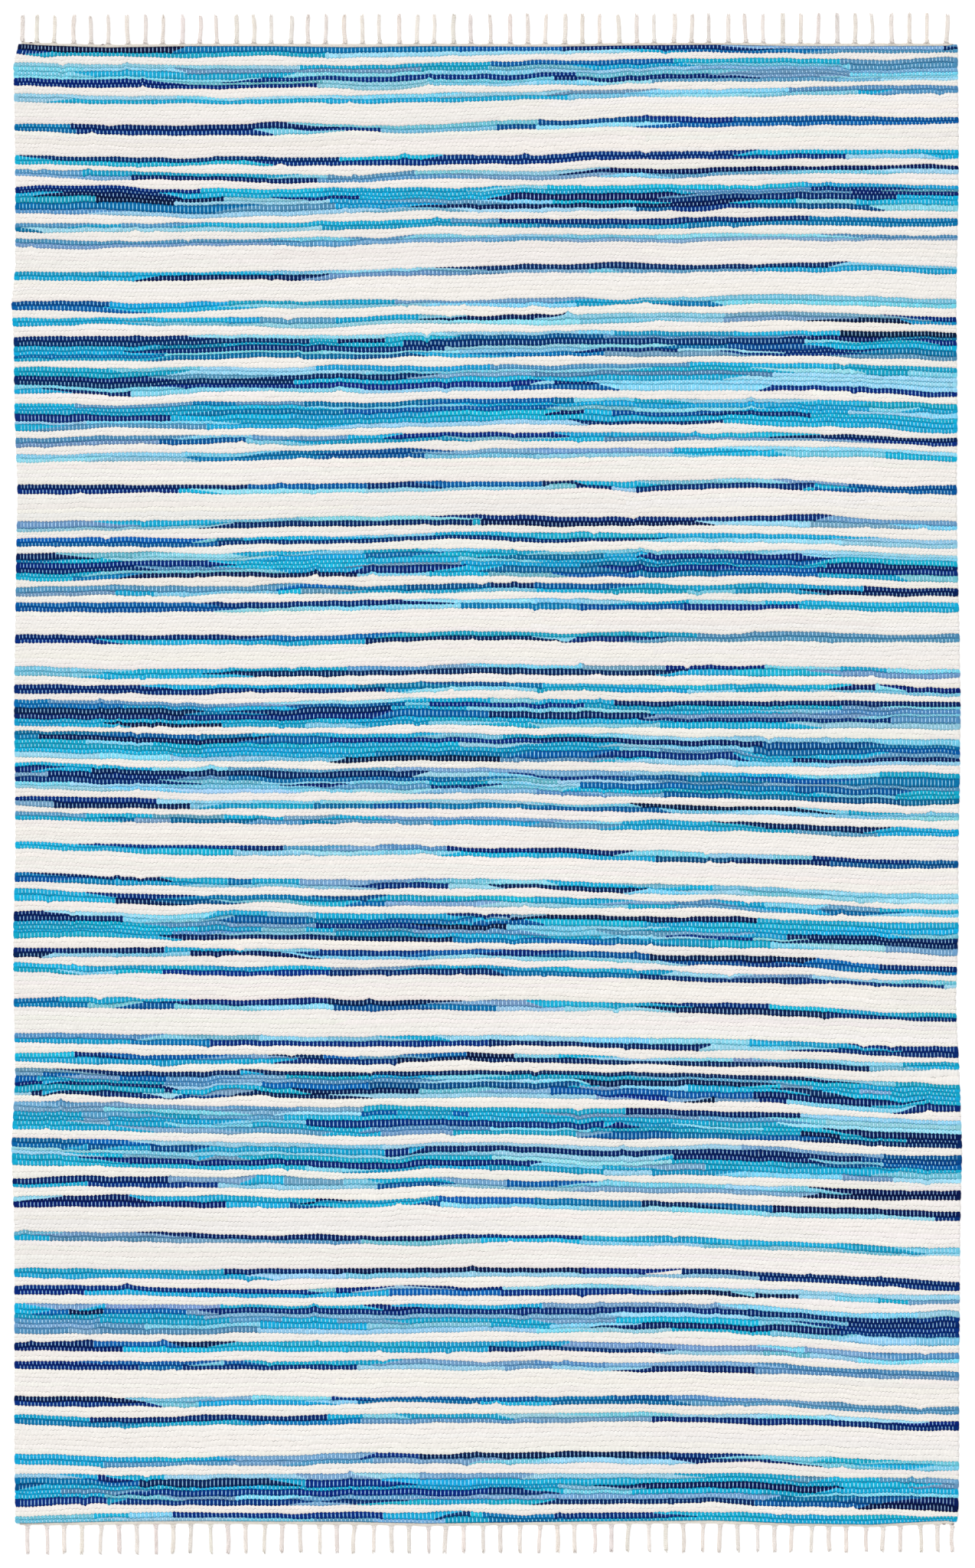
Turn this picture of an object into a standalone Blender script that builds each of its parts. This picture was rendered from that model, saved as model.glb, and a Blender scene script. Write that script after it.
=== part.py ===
"""Flat woven rag rug with a narrow woven heading and a knotted fringe at each end.

Metres, +Z up. The rug lies flat on z = 0, its length along Y, its width
along X. The origin is under the middle of the whole rug, fringe included.
"""

import bpy
import math

# ---------------------------------------------------------------- dimensions
BODY_THICK = 0.0060        # woven field, rag strips beaten over the warp
EDGE_ROUND = 0.0018        # rounding of the field's edges
HEADING_THICK = 0.0030     # fine strip woven from the warp yarn
FRINGE_THICK = 0.0050      # a knotted group of warp ends
GAP = 0.0003               # clearance between neighbouring pieces

SPINE_WIDTH = 0.0028       # warp ends gathered along the heading
KNOT_WIDTH = 0.0102        # overhand knot, across
KNOT_LENGTH = 0.0080       # overhand knot, along the tassel
CORD_WIDTHS = (0.0080, 0.0072, 0.0064)   # tassel widths, taken in turn
TIP_TAPER = 0.86           # width of a tassel's cut end against its cord
LEAN = 0.0022              # most that a tassel's tip leans sideways
TASSELS = 52

# Selvedges in millimetres, a row for each section along the rug.
SELVEDGE_COLUMNS = ("along", "left", "right")
SELVEDGE = (
    (-1190.0, -762.0, 760.0),
    (-1183.2, -762.0, 762.0),
    (-1065.1, -763.5, 763.5),
    (-945.7, -763.5, 763.2),
    (-827.0, -763.5, 764.5),
    (-708.2, -763.9, 765.4),
    (-589.4, -768.2, 768.2),
    (-470.7, -762.0, 764.0),
    (-351.9, -764.5, 758.0),
    (-233.2, -765.0, 762.6),
    (-114.4, -762.0, 762.0),
    (4.3, -762.3, 764.5),
    (123.1, -764.0, 765.6),
    (241.8, -762.3, 764.0),
    (360.6, -760.6, 760.8),
    (479.3, -758.5, 759.5),
    (598.1, -763.2, 760.8),
    (716.8, -764.5, 759.5),
    (776.2, -768.2, 758.8),
    (835.6, -762.0, 759.8),
    (954.3, -761.8, 762.3),
    (1073.1, -763.2, 762.6),
    (1160.0, -765.0, 761.0),
    (1179.0, -761.5, 762.0),
    (1188.0, -757.5, 761.0),
)

# Ends in millimetres, a row for each section across the rug: where the woven
# field stops and where the heading stops, at the top (+Y) and bottom (-Y).
END_COLUMNS = ("across", "field_top", "heading_top", "field_bottom", "heading_bottom")
ENDS = (
    (-752.0, 1195.0, 1198.4, -1195.0, -1198.0),
    (-725.0, 1193.0, 1197.4, -1194.6, -1198.4),
    (-613.0, 1189.2, 1194.6, -1192.2, -1197.6),
    (-480.0, 1191.4, 1195.8, -1191.0, -1196.2),
    (-350.0, 1191.4, 1196.0, -1192.0, -1197.0),
    (-225.0, 1189.6, 1195.4, -1192.4, -1197.6),
    (-94.0, 1191.4, 1196.0, -1195.2, -1199.8),
    (104.0, 1190.4, 1195.4, -1192.6, -1197.8),
    (234.0, 1192.6, 1196.8, -1191.4, -1196.4),
    (364.0, 1193.8, 1197.6, -1190.2, -1195.4),
    (494.0, 1191.6, 1196.4, -1195.2, -1199.6),
    (623.0, 1191.4, 1196.2, -1197.0, -1201.0),
    (720.0, 1191.8, 1196.4, -1191.8, -1197.2),
    (746.0, 1192.0, 1196.4, -1190.8, -1196.8),
    (757.0, 1194.4, 1196.8, -1192.8, -1196.8),
)

# Where the headings start and stop across, in millimetres.
HEADING_SPAN = {"top": (-752.0, 754.0), "bottom": (-755.0, 755.0)}

# Tassel places in millimetres: groups of three with uneven steps, a row for
# each run of groups. "first" is the run's first tassel.
TASSEL_COLUMNS = ("end", "first", "across", "group_pitch", "second", "third")
TASSEL_RUNS = (
    ("top", 0, -751.1, 87.74, 31.9, 59.9),
    ("top", 1, -727.5, 87.74, 27.8, 59.7),
    ("top", 26, 6.2, 88.14, 31.7, 60.1),
    ("bottom", 0, -742.8, 88.14, 31.5, 59.4),
    ("bottom", 27, 53.8, 87.83, 32.4, 59.9),
    ("bottom", 51, 752.6, 87.83, 32.4, 59.9),
)

# Where the cut ends lie, in millimetres, at the left and right corner.
TIP_COLUMNS = ("end", "left", "right")
TIPS = (
    ("top", 1243.0, 1246.3),
    ("bottom", -1246.3, -1242.4),
)

COLLECTION_NAME = "rag_rug"


# ------------------------------------------------------------------- helpers
def clear_scene():
    for obj in list(bpy.data.objects):
        bpy.data.objects.remove(obj, do_unlink=True)
    for coll in list(bpy.data.collections):
        bpy.data.collections.remove(coll)


def material(name, colour, roughness):
    mat = bpy.data.materials.new(name)
    mat.use_nodes = True
    bsdf = mat.node_tree.nodes["Principled BSDF"]
    bsdf.inputs["Base Color"].default_value = (*colour, 1.0)
    bsdf.inputs["Roughness"].default_value = roughness
    bsdf.inputs["Metallic"].default_value = 0.0
    mat.diffuse_color = (*colour, 1.0)
    return mat


def table_value(rows, key, column, at):
    """Straight-line value of a table's column at a place in its key column."""
    pts = sorted((row[key], row[column]) for row in rows)
    if at <= pts[0][0]:
        return pts[0][1]
    for (a, va), (b, vb) in zip(pts, pts[1:]):
        if at <= b:
            return va + (vb - va) * (at - a) / (b - a)
    return pts[-1][1]


def end_line(column, start, stop, shift=0.0):
    """Points along one column of the ends table, from start to stop across."""
    col = END_COLUMNS.index(column)
    low, high = min(start, stop), max(start, stop)
    places = [low] + [r[0] for r in ENDS if low + 1.0 < r[0] < high - 1.0] + [high]
    line = [(x, table_value(ENDS, 0, col, x) + shift) for x in places]
    return line if start < stop else line[::-1]


def flat_piece(name, outline_mm, thick, mat, coll, rounding=0.0):
    """A filled flat outline of the given thickness, standing on z = 0."""
    curve = bpy.data.curves.new(name, "CURVE")
    curve.dimensions = "2D"
    curve.fill_mode = "BOTH"
    curve.resolution_u = 1
    curve.render_resolution_u = 0
    curve.extrude = thick / 2 - rounding
    if rounding:
        curve.bevel_depth = rounding
        curve.bevel_resolution = 1
        curve.offset = -rounding
    spline = curve.splines.new("POLY")
    spline.points.add(len(outline_mm) - 1)
    for point, (x, y) in zip(spline.points, outline_mm):
        point.co = (x / 1000, y / 1000, 0.0, 1.0)
    spline.use_cyclic_u = True
    obj = bpy.data.objects.new(name, curve)
    obj.location = (0.0, 0.0, thick / 2)
    curve.materials.append(mat)
    coll.objects.link(obj)
    return obj


# -------------------------------------------------------------------- pieces
def body_outline():
    """Anticlockwise outline: near end, right selvedge, far end, left selvedge."""
    left = [(row[1], row[0]) for row in SELVEDGE]
    right = [(row[2], row[0]) for row in SELVEDGE]
    near = end_line("field_bottom", -756.0, 755.5)
    far = end_line("field_top", 756.0, -753.0)
    return near + right + far + left[::-1]


def heading_outline(end):
    sign = 1 if end == "top" else -1
    start, stop = HEADING_SPAN[end]
    inside = end_line("field_" + end, start, stop, GAP * 1000 * sign)
    outside = end_line("heading_" + end, stop, start)
    line = inside + outside
    return line if sign < 0 else line[::-1]


def tassel_places(end):
    """Place across and width of each tassel at one end, in millimetres."""
    runs = [r for r in TASSEL_RUNS if r[0] == end]
    places = []
    for i in range(TASSELS):
        run = [r for r in runs if r[1] <= i][-1]
        group, member = divmod(i - run[1], 3)
        step = (0.0, run[4], run[5])[member]
        places.append((run[2] + run[3] * group + step,
                       CORD_WIDTHS[(i + (0 if end == "top" else 1)) % 3] * 1000))
    return places


def tassel_lean(i, end):
    """Small sideways lean of a tip, which wanders slowly along the end."""
    turn = 0.9 if end == "top" else 1.3
    return LEAN * 1000 * (0.6 * math.sin(turn * i) + 0.4 * math.sin(2.6 * i + 1.0))


def comb_outline(end):
    """Spine against the heading, and a tooth with a knot for each tassel."""
    sign = 1 if end == "top" else -1
    column = "heading_" + end
    col = END_COLUMNS.index(column)
    gap = GAP * 1000 * sign
    spine = SPINE_WIDTH * 1000 * sign
    knot_w, knot_l = KNOT_WIDTH * 1000 / 2, KNOT_LENGTH * 1000 * sign
    tips = [r for r in TIPS if r[0] == end][0]
    places = tassel_places(end)
    first, last = places[0][0] - knot_w, places[-1][0] + knot_w
    inner = end_line(column, first, last, gap)
    outer = []
    for i, (x, width) in enumerate(places):
        base = table_value(ENDS, 0, col, x) + gap
        share = (x - places[0][0]) / (places[-1][0] - places[0][0])
        tip = tips[1] + (tips[2] - tips[1]) * share
        lean = tassel_lean(i, end)
        half = width / 2
        outer += [
            (x - knot_w, base + spine),
            (x - knot_w, base + spine * 0.4 + knot_l * 0.75),
            (x - half, base + spine * 0.4 + knot_l),
            (x - half + lean, tip - 2.0 * sign),
            (x - half * TIP_TAPER + lean, tip),
            (x + half * TIP_TAPER + lean, tip),
            (x + half + lean, tip - 2.0 * sign),
            (x + half, base + spine * 0.4 + knot_l),
            (x + knot_w, base + spine * 0.4 + knot_l * 0.75),
            (x + knot_w, base + spine),
        ]
    line = inner + outer[::-1]
    return line if sign > 0 else line[::-1]


def build():
    clear_scene()
    coll = bpy.data.collections.new(COLLECTION_NAME)
    bpy.context.scene.collection.children.link(coll)

    rag = material("rag_weave", (0.22, 0.52, 0.66), 0.92)
    heading = material("heading_yarn", (0.76, 0.70, 0.60), 0.90)
    fringe = material("fringe_yarn", (0.80, 0.74, 0.71), 0.90)

    flat_piece("rug_body", body_outline(), BODY_THICK, rag, coll, EDGE_ROUND)
    flat_piece("heading_top", heading_outline("top"), HEADING_THICK, heading, coll)
    flat_piece("heading_bottom", heading_outline("bottom"), HEADING_THICK, heading, coll)
    flat_piece("fringe_top", comb_outline("top"), FRINGE_THICK, fringe, coll)
    flat_piece("fringe_bottom", comb_outline("bottom"), FRINGE_THICK, fringe, coll)


build()
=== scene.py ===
"""Looks of a hit-and-miss rag rug: woven rag field, headings and knotted fringe."""

import bpy
import math
import numpy as np
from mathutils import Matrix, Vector


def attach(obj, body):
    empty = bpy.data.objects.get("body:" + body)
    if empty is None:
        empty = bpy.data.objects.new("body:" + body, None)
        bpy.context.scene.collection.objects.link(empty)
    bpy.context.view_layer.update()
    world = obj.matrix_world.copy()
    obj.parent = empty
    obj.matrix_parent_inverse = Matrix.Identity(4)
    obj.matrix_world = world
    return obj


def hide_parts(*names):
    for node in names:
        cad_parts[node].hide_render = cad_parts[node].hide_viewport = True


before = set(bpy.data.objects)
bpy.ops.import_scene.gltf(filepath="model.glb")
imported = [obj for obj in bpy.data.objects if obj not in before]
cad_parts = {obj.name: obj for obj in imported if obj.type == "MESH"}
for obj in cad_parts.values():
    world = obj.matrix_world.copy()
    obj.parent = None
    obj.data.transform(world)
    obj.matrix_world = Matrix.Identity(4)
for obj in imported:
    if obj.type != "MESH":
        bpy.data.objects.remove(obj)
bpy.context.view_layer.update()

# ============================================================ sizes and chart
# The weave is charted in units of 1.237 mm, counted across from the left and
# down from the far end. This is the chart place of the rug's middle.
UNIT = 0.001237
MID_ACROSS, MID_DOWN = 636.0, 1023.5

RIBS = 240                  # rag ribs across the rug, one to each pair of warp ends
BANDS = 12                  # the field is built as this many bands of picks
CREST = 0.0062              # height of a rag where it rides over a warp end
DIP = 0.0015                # how far a warp end pulls it down between ribs
VALLEY = 0.0041             # height of the crease between two picks
VALLEY_CREAM = 0.0053       # cream picks are beaten closer, so it is shallower,
DIP_CREAM = 0.0006          # and so are the dips under the warp
UNDER = 0.00015             # the underside lies just off the floor
BULGE = 0.00095             # how far ribs push into the pick next to them
BAND_GAP = 0.00002
LEFT_EDGE, RIGHT_EDGE = -0.7632, 0.7625

# Where the stripes wander, in units down: a row for each stripe of the chart
# from the far end, a column for each place across it.
WANDER_ACROSS = (34, 140, 245, 455, 640, 825, 1035, 1140, 1238)
WANDER = (
    (0, 3, 3, 4, 1, -2, -1, -2, -1), (2, 5, 5, 5, 0, -3, -4, -3, -5), (2, 6, 5, 5, 1, -3, -5, -8, -8),
    (2, 6, 7, 5, 0, -6, -6, -7, -8), (2, 4, 6, 4, 1, -4, -5, -5, -5), (-1, 1, 4, 5, 1, -2, -5, -5, -4),
    (2, 4, 6, 1, 0, -2, -6, -3, -1), (4, 5, 4, 1, -1, 0, -5, -2, -2), (4, 5, 5, 3, -1, -3, -4, -3, -2),
    (6, 6, 6, 3, -3, -4, -6, -7, -1), (3, 5, 5, 1, 0, -3, -6, -2, 1), (3, 2, 3, 2, 0, -3, -5, -2, 2),
    (5, 4, 4, 2, -1, -2, -3, -1, 1), (3, 4, 3, 0, -2, -2, -3, -1, 4), (4, 4, 2, 1, -3, -3, -1, 0, 6),
    (6, 2, 3, 2, -2, -2, -4, 1, 5), (5, 3, 3, 0, -2, -2, -3, -2, 4), (3, 3, 4, 1, -2, -2, -3, 1, 4),
    (6, 4, 3, -1, -3, -2, -2, 2, 5), (4, 3, 4, -1, -4, -3, -1, 3, 7), (4, 2, 1, -1, -3, -2, -2, 2, 6),
    (3, 1, 2, -1, -3, -1, -1, 2, 3), (2, 2, 2, 0, -3, 0, -1, 1, 3), (1, 2, 2, 1, -3, -3, -3, 0, -1),
    (-1, 3, 3, -1, -3, -1, -1, 1, 2), (0, 1, 1, 0, -3, 0, -1, 0, 4), (-2, 0, 1, 0, -4, 0, 2, 0, 3),
    (-5, -4, -1, -2, -1, 0, 4, 4, 6), (-8, -7, -3, -2, -2, 2, 7, 9, 9), (-8, -6, -4, -3, -4, 1, 7, 11, 13),
    (-10, -6, -5, -5, -2, 2, 7, 12, 13), (-12, -8, -4, -4, -2, 3, 8, 13, 13),
    (-13, -8, -5, -3, -3, 3, 8, 15, 16), (-11, -7, -3, -2, -3, 2, 6, 11, 13),
    (-7, -7, -4, -3, -2, 1, 6, 9, 12), (-7, -7, -8, -3, -5, -1, 6, 14, 18),
    (-9, -5, -6, -3, -6, 0, 7, 11, 14), (-7, -6, -3, -2, -2, -1, 6, 10, 14),
    (-7, -5, -4, -2, -4, 0, 4, 10, 12), (-5, -2, -2, -2, -4, 0, 3, 8, 7), (-7, -4, -2, -2, -4, -1, 4, 12, 15),
    (-10, -9, -5, -2, -4, 1, 4, 12, 15), (-10, -8, -5, 0, -4, 3, 6, 12, 14),
    (-5, -6, -4, -2, -4, 1, 7, 11, 12), (-5, -5, -5, -1, -4, 0, 7, 11, 14),
    (-7, -6, -4, -2, -3, 0, 6, 10, 13), (-3, -2, -1, -3, -4, -4, 3, 8, 14), (-3, -1, 0, -1, -2, -4, 2, 8, 9),
    (-2, -2, -1, -1, -3, -4, 2, 10, 10), (-3, -3, -1, -2, -2, -1, 5, 12, 12),
    (-4, -3, -2, -3, -2, -1, 2, 9, 11), (-1, -1, 0, -2, -2, -4, 2, 8, 10), (-1, 3, 2, -1, -3, -5, 0, 4, 7),
    (-2, 2, 1, -3, -3, -4, 1, 6, 8), (1, 0, 0, -1, -2, -2, 2, 5, 7), (3, -1, -1, 0, -1, -2, 2, 3, 2),
)
# Where a stripe is drawn in or let out beyond that: stripe, place across, and
# how far its far and near edge lie off, in units down.
LET_OUT = (
    (0, 64, -1, 2), (0, 244, -2, 2), (0, 352, -3, -1), (0, 448, -1, 2), (0, 544, -2, 1), (1, 496, 2, 4),
    (1, 652, 1, 2), (1, 784, 1, 3), (1, 1180, 1, -2), (2, 304, 3, 0), (3, 28, 2, 0),
    (3, 370, -4, -1), (3, 460, 0, -4), (3, 508, 2, 1),
    (3, 580, 2, 0), (3, 748, 3, 2), (3, 856, 0, 2), (3, 928, 1, 2), (3, 1168, 2, 0), (3, 1240, 2, -1),
    (4, 304, -2, -3), (4, 700, 2, 2), (5, 136, 0, 2), (5, 364, 1, 3), (5, 460, 3, 1), (5, 556, -2, -2),
    (5, 700, 2, 3), (5, 808, -2, 0), (5, 868, 2, 3), (5, 1180, 0, -2), (5, 1216, -3, 0),
    (6, 60, -3, 0), (6, 140, -4, 0),
    (6, 280, -2, 2),
    (6, 388, 1, 2), (6, 472, 2, -1), (6, 556, 1, -3), (6, 604, 2, -1), (6, 904, 2, 3), (6, 976, 3, -1),
    (7, 64, 0, 2), (7, 364, 2, 2), (7, 580, -1, -3), (7, 904, 0, 2), (8, 28, -1, 3), (8, 100, 0, 4), (8, 208, 0, 2),
    (8, 424, -2, 3), (8, 568, -4, -1), (8, 772, -1, 2), (8, 892, 1, 4), (8, 952, -1, 2), (8, 1084, 0, 2),
    (9, 400, 1, 2), (9, 700, -2, -1), (9, 800, -4, -2), (9, 1072, -2, 1),
    (10, 112, -2, 1), (10, 184, 1, 2), (10, 340, -1, -3), (10, 400, 2, -1),
    (10, 532, 1, -3), (10, 604, 3, -2), (10, 808, 4, -1), (10, 856, 1, -2), (10, 904, 2, 3), (11, 76, 2, 0),
    (11, 136, 0, -2), (11, 184, 2, 0), (11, 400, 0, 3), (11, 532, -4, -2), (11, 712, 0, 3), (11, 808, 0, 2),
    (11, 940, 1, 2), (12, 340, -1, -3), (12, 544, -2, -2), (12, 760, -2, 0), (12, 1132, -1, 3), (12, 1228, -2, 3),
    (13, 88, 0, -2), (13, 184, 0, 2), (13, 292, 0, -3), (13, 364, 2, -1), (13, 508, 1, 2), (13, 580, 3, 0),
    (13, 712, 3, -2), (13, 1144, 0, 2), (13, 1228, -1, 3), (14, 136, 2, -3), (14, 196, 2, -1), (14, 496, 2, 0),
    (14, 676, 0, -2), (14, 856, 2, -1), (14, 964, 0, -4), (14, 1216, -1, 3), (15, 304, -2, -3), (15, 556, -1, -3),
    (15, 940, 2, 0), (15, 1060, 2, 1), (15, 1192, 2, -1), (16, 76, 2, 0), (16, 304, 2, 1), (16, 364, -2, 0),
    (16, 532, -3, -1), (16, 580, 2, 1), (16, 988, -2, -1), (17, 220, 0, -2), (17, 772, 0, -3), (17, 820, 1, 2),
    (17, 976, -2, -2), (17, 1168, 3, 0), (18, 748, 2, 2), (18, 1012, 0, 2), (18, 1060, -3, 0), (19, 328, 1, -2),
    (19, 436, 2, 0), (19, 580, -1, -3), (19, 724, 1, 3), (20, 76, -1, 2), (20, 280, 3, -1), (20, 700, 1, 2),
    (20, 748, 3, 1), (20, 868, 1, 2), (21, 304, 0, -2), (21, 388, -2, -1), (21, 484, 2, -1), (21, 1180, 2, 0),
    (22, 1024, 0, -2), (23, 100, 0, -2), (23, 568, -1, -2), (23, 676, 0, -2), (23, 748, 2, 1), (23, 856, 1, 2),
    (23, 940, 3, 1), (23, 1192, 2, -1), (24, 1192, 1, 2), (25, 232, 0, 2), (25, 544, -2, -1), (25, 760, 0, -2),
    (25, 916, 2, 0), (25, 1048, 2, -1), (25, 1240, 2, 1), (26, 208, 1, -2), (26, 280, 3, -1), (26, 352, 2, -1),
    (26, 544, -2, -2), (26, 700, 1, 3), (27, 460, 0, 3), (27, 604, -2, 1), (27, 892, 1, 3), (27, 976, -1, 2),
    (27, 1072, 0, 3), (28, 112, 1, 2), (28, 196, 3, -1), (28, 424, 2, -2), (28, 700, 2, -1), (28, 1108, -2, 3),
    (28, 1180, -5, 5), (28, 1240, -2, 4), (29, 52, -1, 2), (29, 124, -1, 2), (29, 196, -2, 2), (29, 736, 3, 1),
    (29, 1012, -2, -1), (29, 1156, 2, -1), (30, 364, 2, 2), (30, 748, 1, 2), (30, 808, 3, 1), (30, 856, -3, -1),
    (30, 976, -2, 0), (30, 1096, 0, 2), (30, 1168, -2, -1), (31, 28, 2, -1), (31, 112, 2, -1), (31, 532, -3, -2),
    (31, 724, -2, -2), (31, 880, -2, 1), (31, 1228, 2, -1), (32, 220, 0, -2), (32, 364, -1, -3), (32, 568, -2, -1),
    (32, 700, -1, -3), (32, 952, -2, -1), (33, 28, -2, 2), (33, 292, -1, -2), (33, 352, -2, -5), (33, 508, -2, -1),
    (33, 868, 2, -1), (33, 928, 0, -3), (33, 1168, 3, -1), (33, 1240, 2, -1), (34, 28, 1, -2), (34, 148, 2, -2),
    (34, 208, 4, -1), (34, 316, -2, -3), (34, 412, -1, -3), (34, 904, 0, 2), (34, 952, -3, 1), (34, 1240, -2, 4),
    (35, 304, 1, -3), (35, 376, 0, -2), (35, 880, 2, 2), (35, 988, 0, 2), (35, 1060, -2, -1), (36, 112, 2, 1),
    (36, 184, 1, -2), (36, 316, 3, 1), (36, 676, 2, 1), (36, 940, 2, 1), (36, 1096, 1, -2), (36, 1144, 3, -1),
    (36, 1240, 2, -1), (37, 28, 2, -1), (37, 412, -3, -1), (37, 556, -2, -3), (37, 820, 2, -1), (37, 976, -2, -1),
    (37, 1168, 2, -1), (38, 880, -1, 2), (38, 1084, -1, -2), (39, 112, -3, 1), (39, 208, 0, 3), (39, 472, 2, 1),
    (39, 580, -1, -3), (39, 832, 2, -1), (39, 1204, 1, -2), (40, 88, 0, -3), (40, 328, -1, -4), (40, 904, -1, 2),
    (40, 1096, 0, 2), (40, 1168, -2, 3), (41, 340, 0, -2), (41, 496, -3, 1), (41, 796, -1, 3), (41, 844, -2, -1),
    (42, 376, -1, -4), (42, 568, -1, -3), (42, 880, -2, -2), (42, 940, -4, -1), (42, 1012, -3, 0), (43, 100, -2, -1),
    (43, 232, -2, 0), (43, 292, 0, -2), (43, 352, -4, 0), (43, 556, -2, -5), (43, 676, 2, 1), (43, 928, -1, -2),
    (44, 148, -2, 1), (44, 304, -2, -1), (44, 424, 0, -3), (44, 508, 2, -1), (44, 544, -1, -5), (44, 580, -2, 0),
    (45, 196, -2, 0), (45, 412, -2, 0), (45, 544, 1, 2), (45, 664, 0, -2), (45, 736, -1, -3), (45, 880, -3, -2),
    (45, 1180, 2, 1), (46, 352, -1, 2), (46, 856, 2, -1), (46, 940, -2, -3), (47, 76, -2, -1), (47, 160, -3, -1),
    (47, 388, 2, 1), (47, 544, -3, -1), (47, 772, -3, 1), (47, 928, -1, -2), (48, 340, 0, -2), (48, 628, 2, -3),
    (48, 856, 0, 2), (48, 904, -1, -4), (48, 976, -2, -2), (48, 1156, -1, 3), (48, 1240, -4, 3), (49, 28, 1, -2),
    (49, 316, -1, -2), (49, 712, -2, -3), (49, 988, -1, -2), (49, 1096, -1, -2), (49, 1156, 0, 2), (50, 304, -2, -1),
    (50, 544, -3, -1), (50, 700, -2, -3), (50, 904, -2, -1), (50, 988, -3, 1), (51, 28, -2, 0), (51, 100, -2, 1),
    (51, 280, -2, -1), (51, 364, -3, 0), (51, 496, 0, -2), (51, 544, -1, -4), (51, 904, -3, 0), (51, 1000, -1, -3),
    (51, 1192, 2, 0), (52, 292, -4, -2), (52, 676, 2, 1), (52, 904, 2, 0), (52, 1192, 2, 2), (53, 244, 2, -1),
    (53, 376, 2, 2), (53, 568, 2, 1), (53, 736, -2, 1), (53, 832, -1, 2), (53, 976, -2, -4), (53, 1024, 0, -2),
    (54, 28, -3, 2), (54, 112, 0, -2), (54, 160, 3, -1), (54, 928, -1, -4), (54, 976, -2, 0), (54, 1240, -1, 2),
    (55, 136, 1, 2), (55, 460, -2, 1), (55, 580, -1, 3), (55, 688, 3, 2), (55, 784, 0, 2), (55, 904, -2, -2),
    (55, 976, -2, -1), (55, 1240, 2, -3),
)

# Rag colours by letter: red, green and blue as a dyer's card shows them
# (0 to 255), and how much of the warp shows between the ribs (0 to 1).
RAGS = {
    "N": (3, 37, 102, 0.92),     # navy
    "B": (4, 87, 158, 0.95),     # royal
    "C": (5, 111, 167, 0.92),    # cobalt
    "A": (20, 163, 208, 0.90),   # azure
    "T": (20, 172, 212, 0.88),   # turquoise
    "K": (118, 201, 227, 0.95),  # sky
    "P": (151, 210, 234, 0.88),  # pale blue
    "Q": (136, 211, 232, 0.92),  # pale aqua
    "S": (84, 146, 189, 0.92),   # slate
    "L": (114, 160, 200, 0.85),  # lilac blue
    "W": (242, 238, 233, 0.25),  # cream
}

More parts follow.
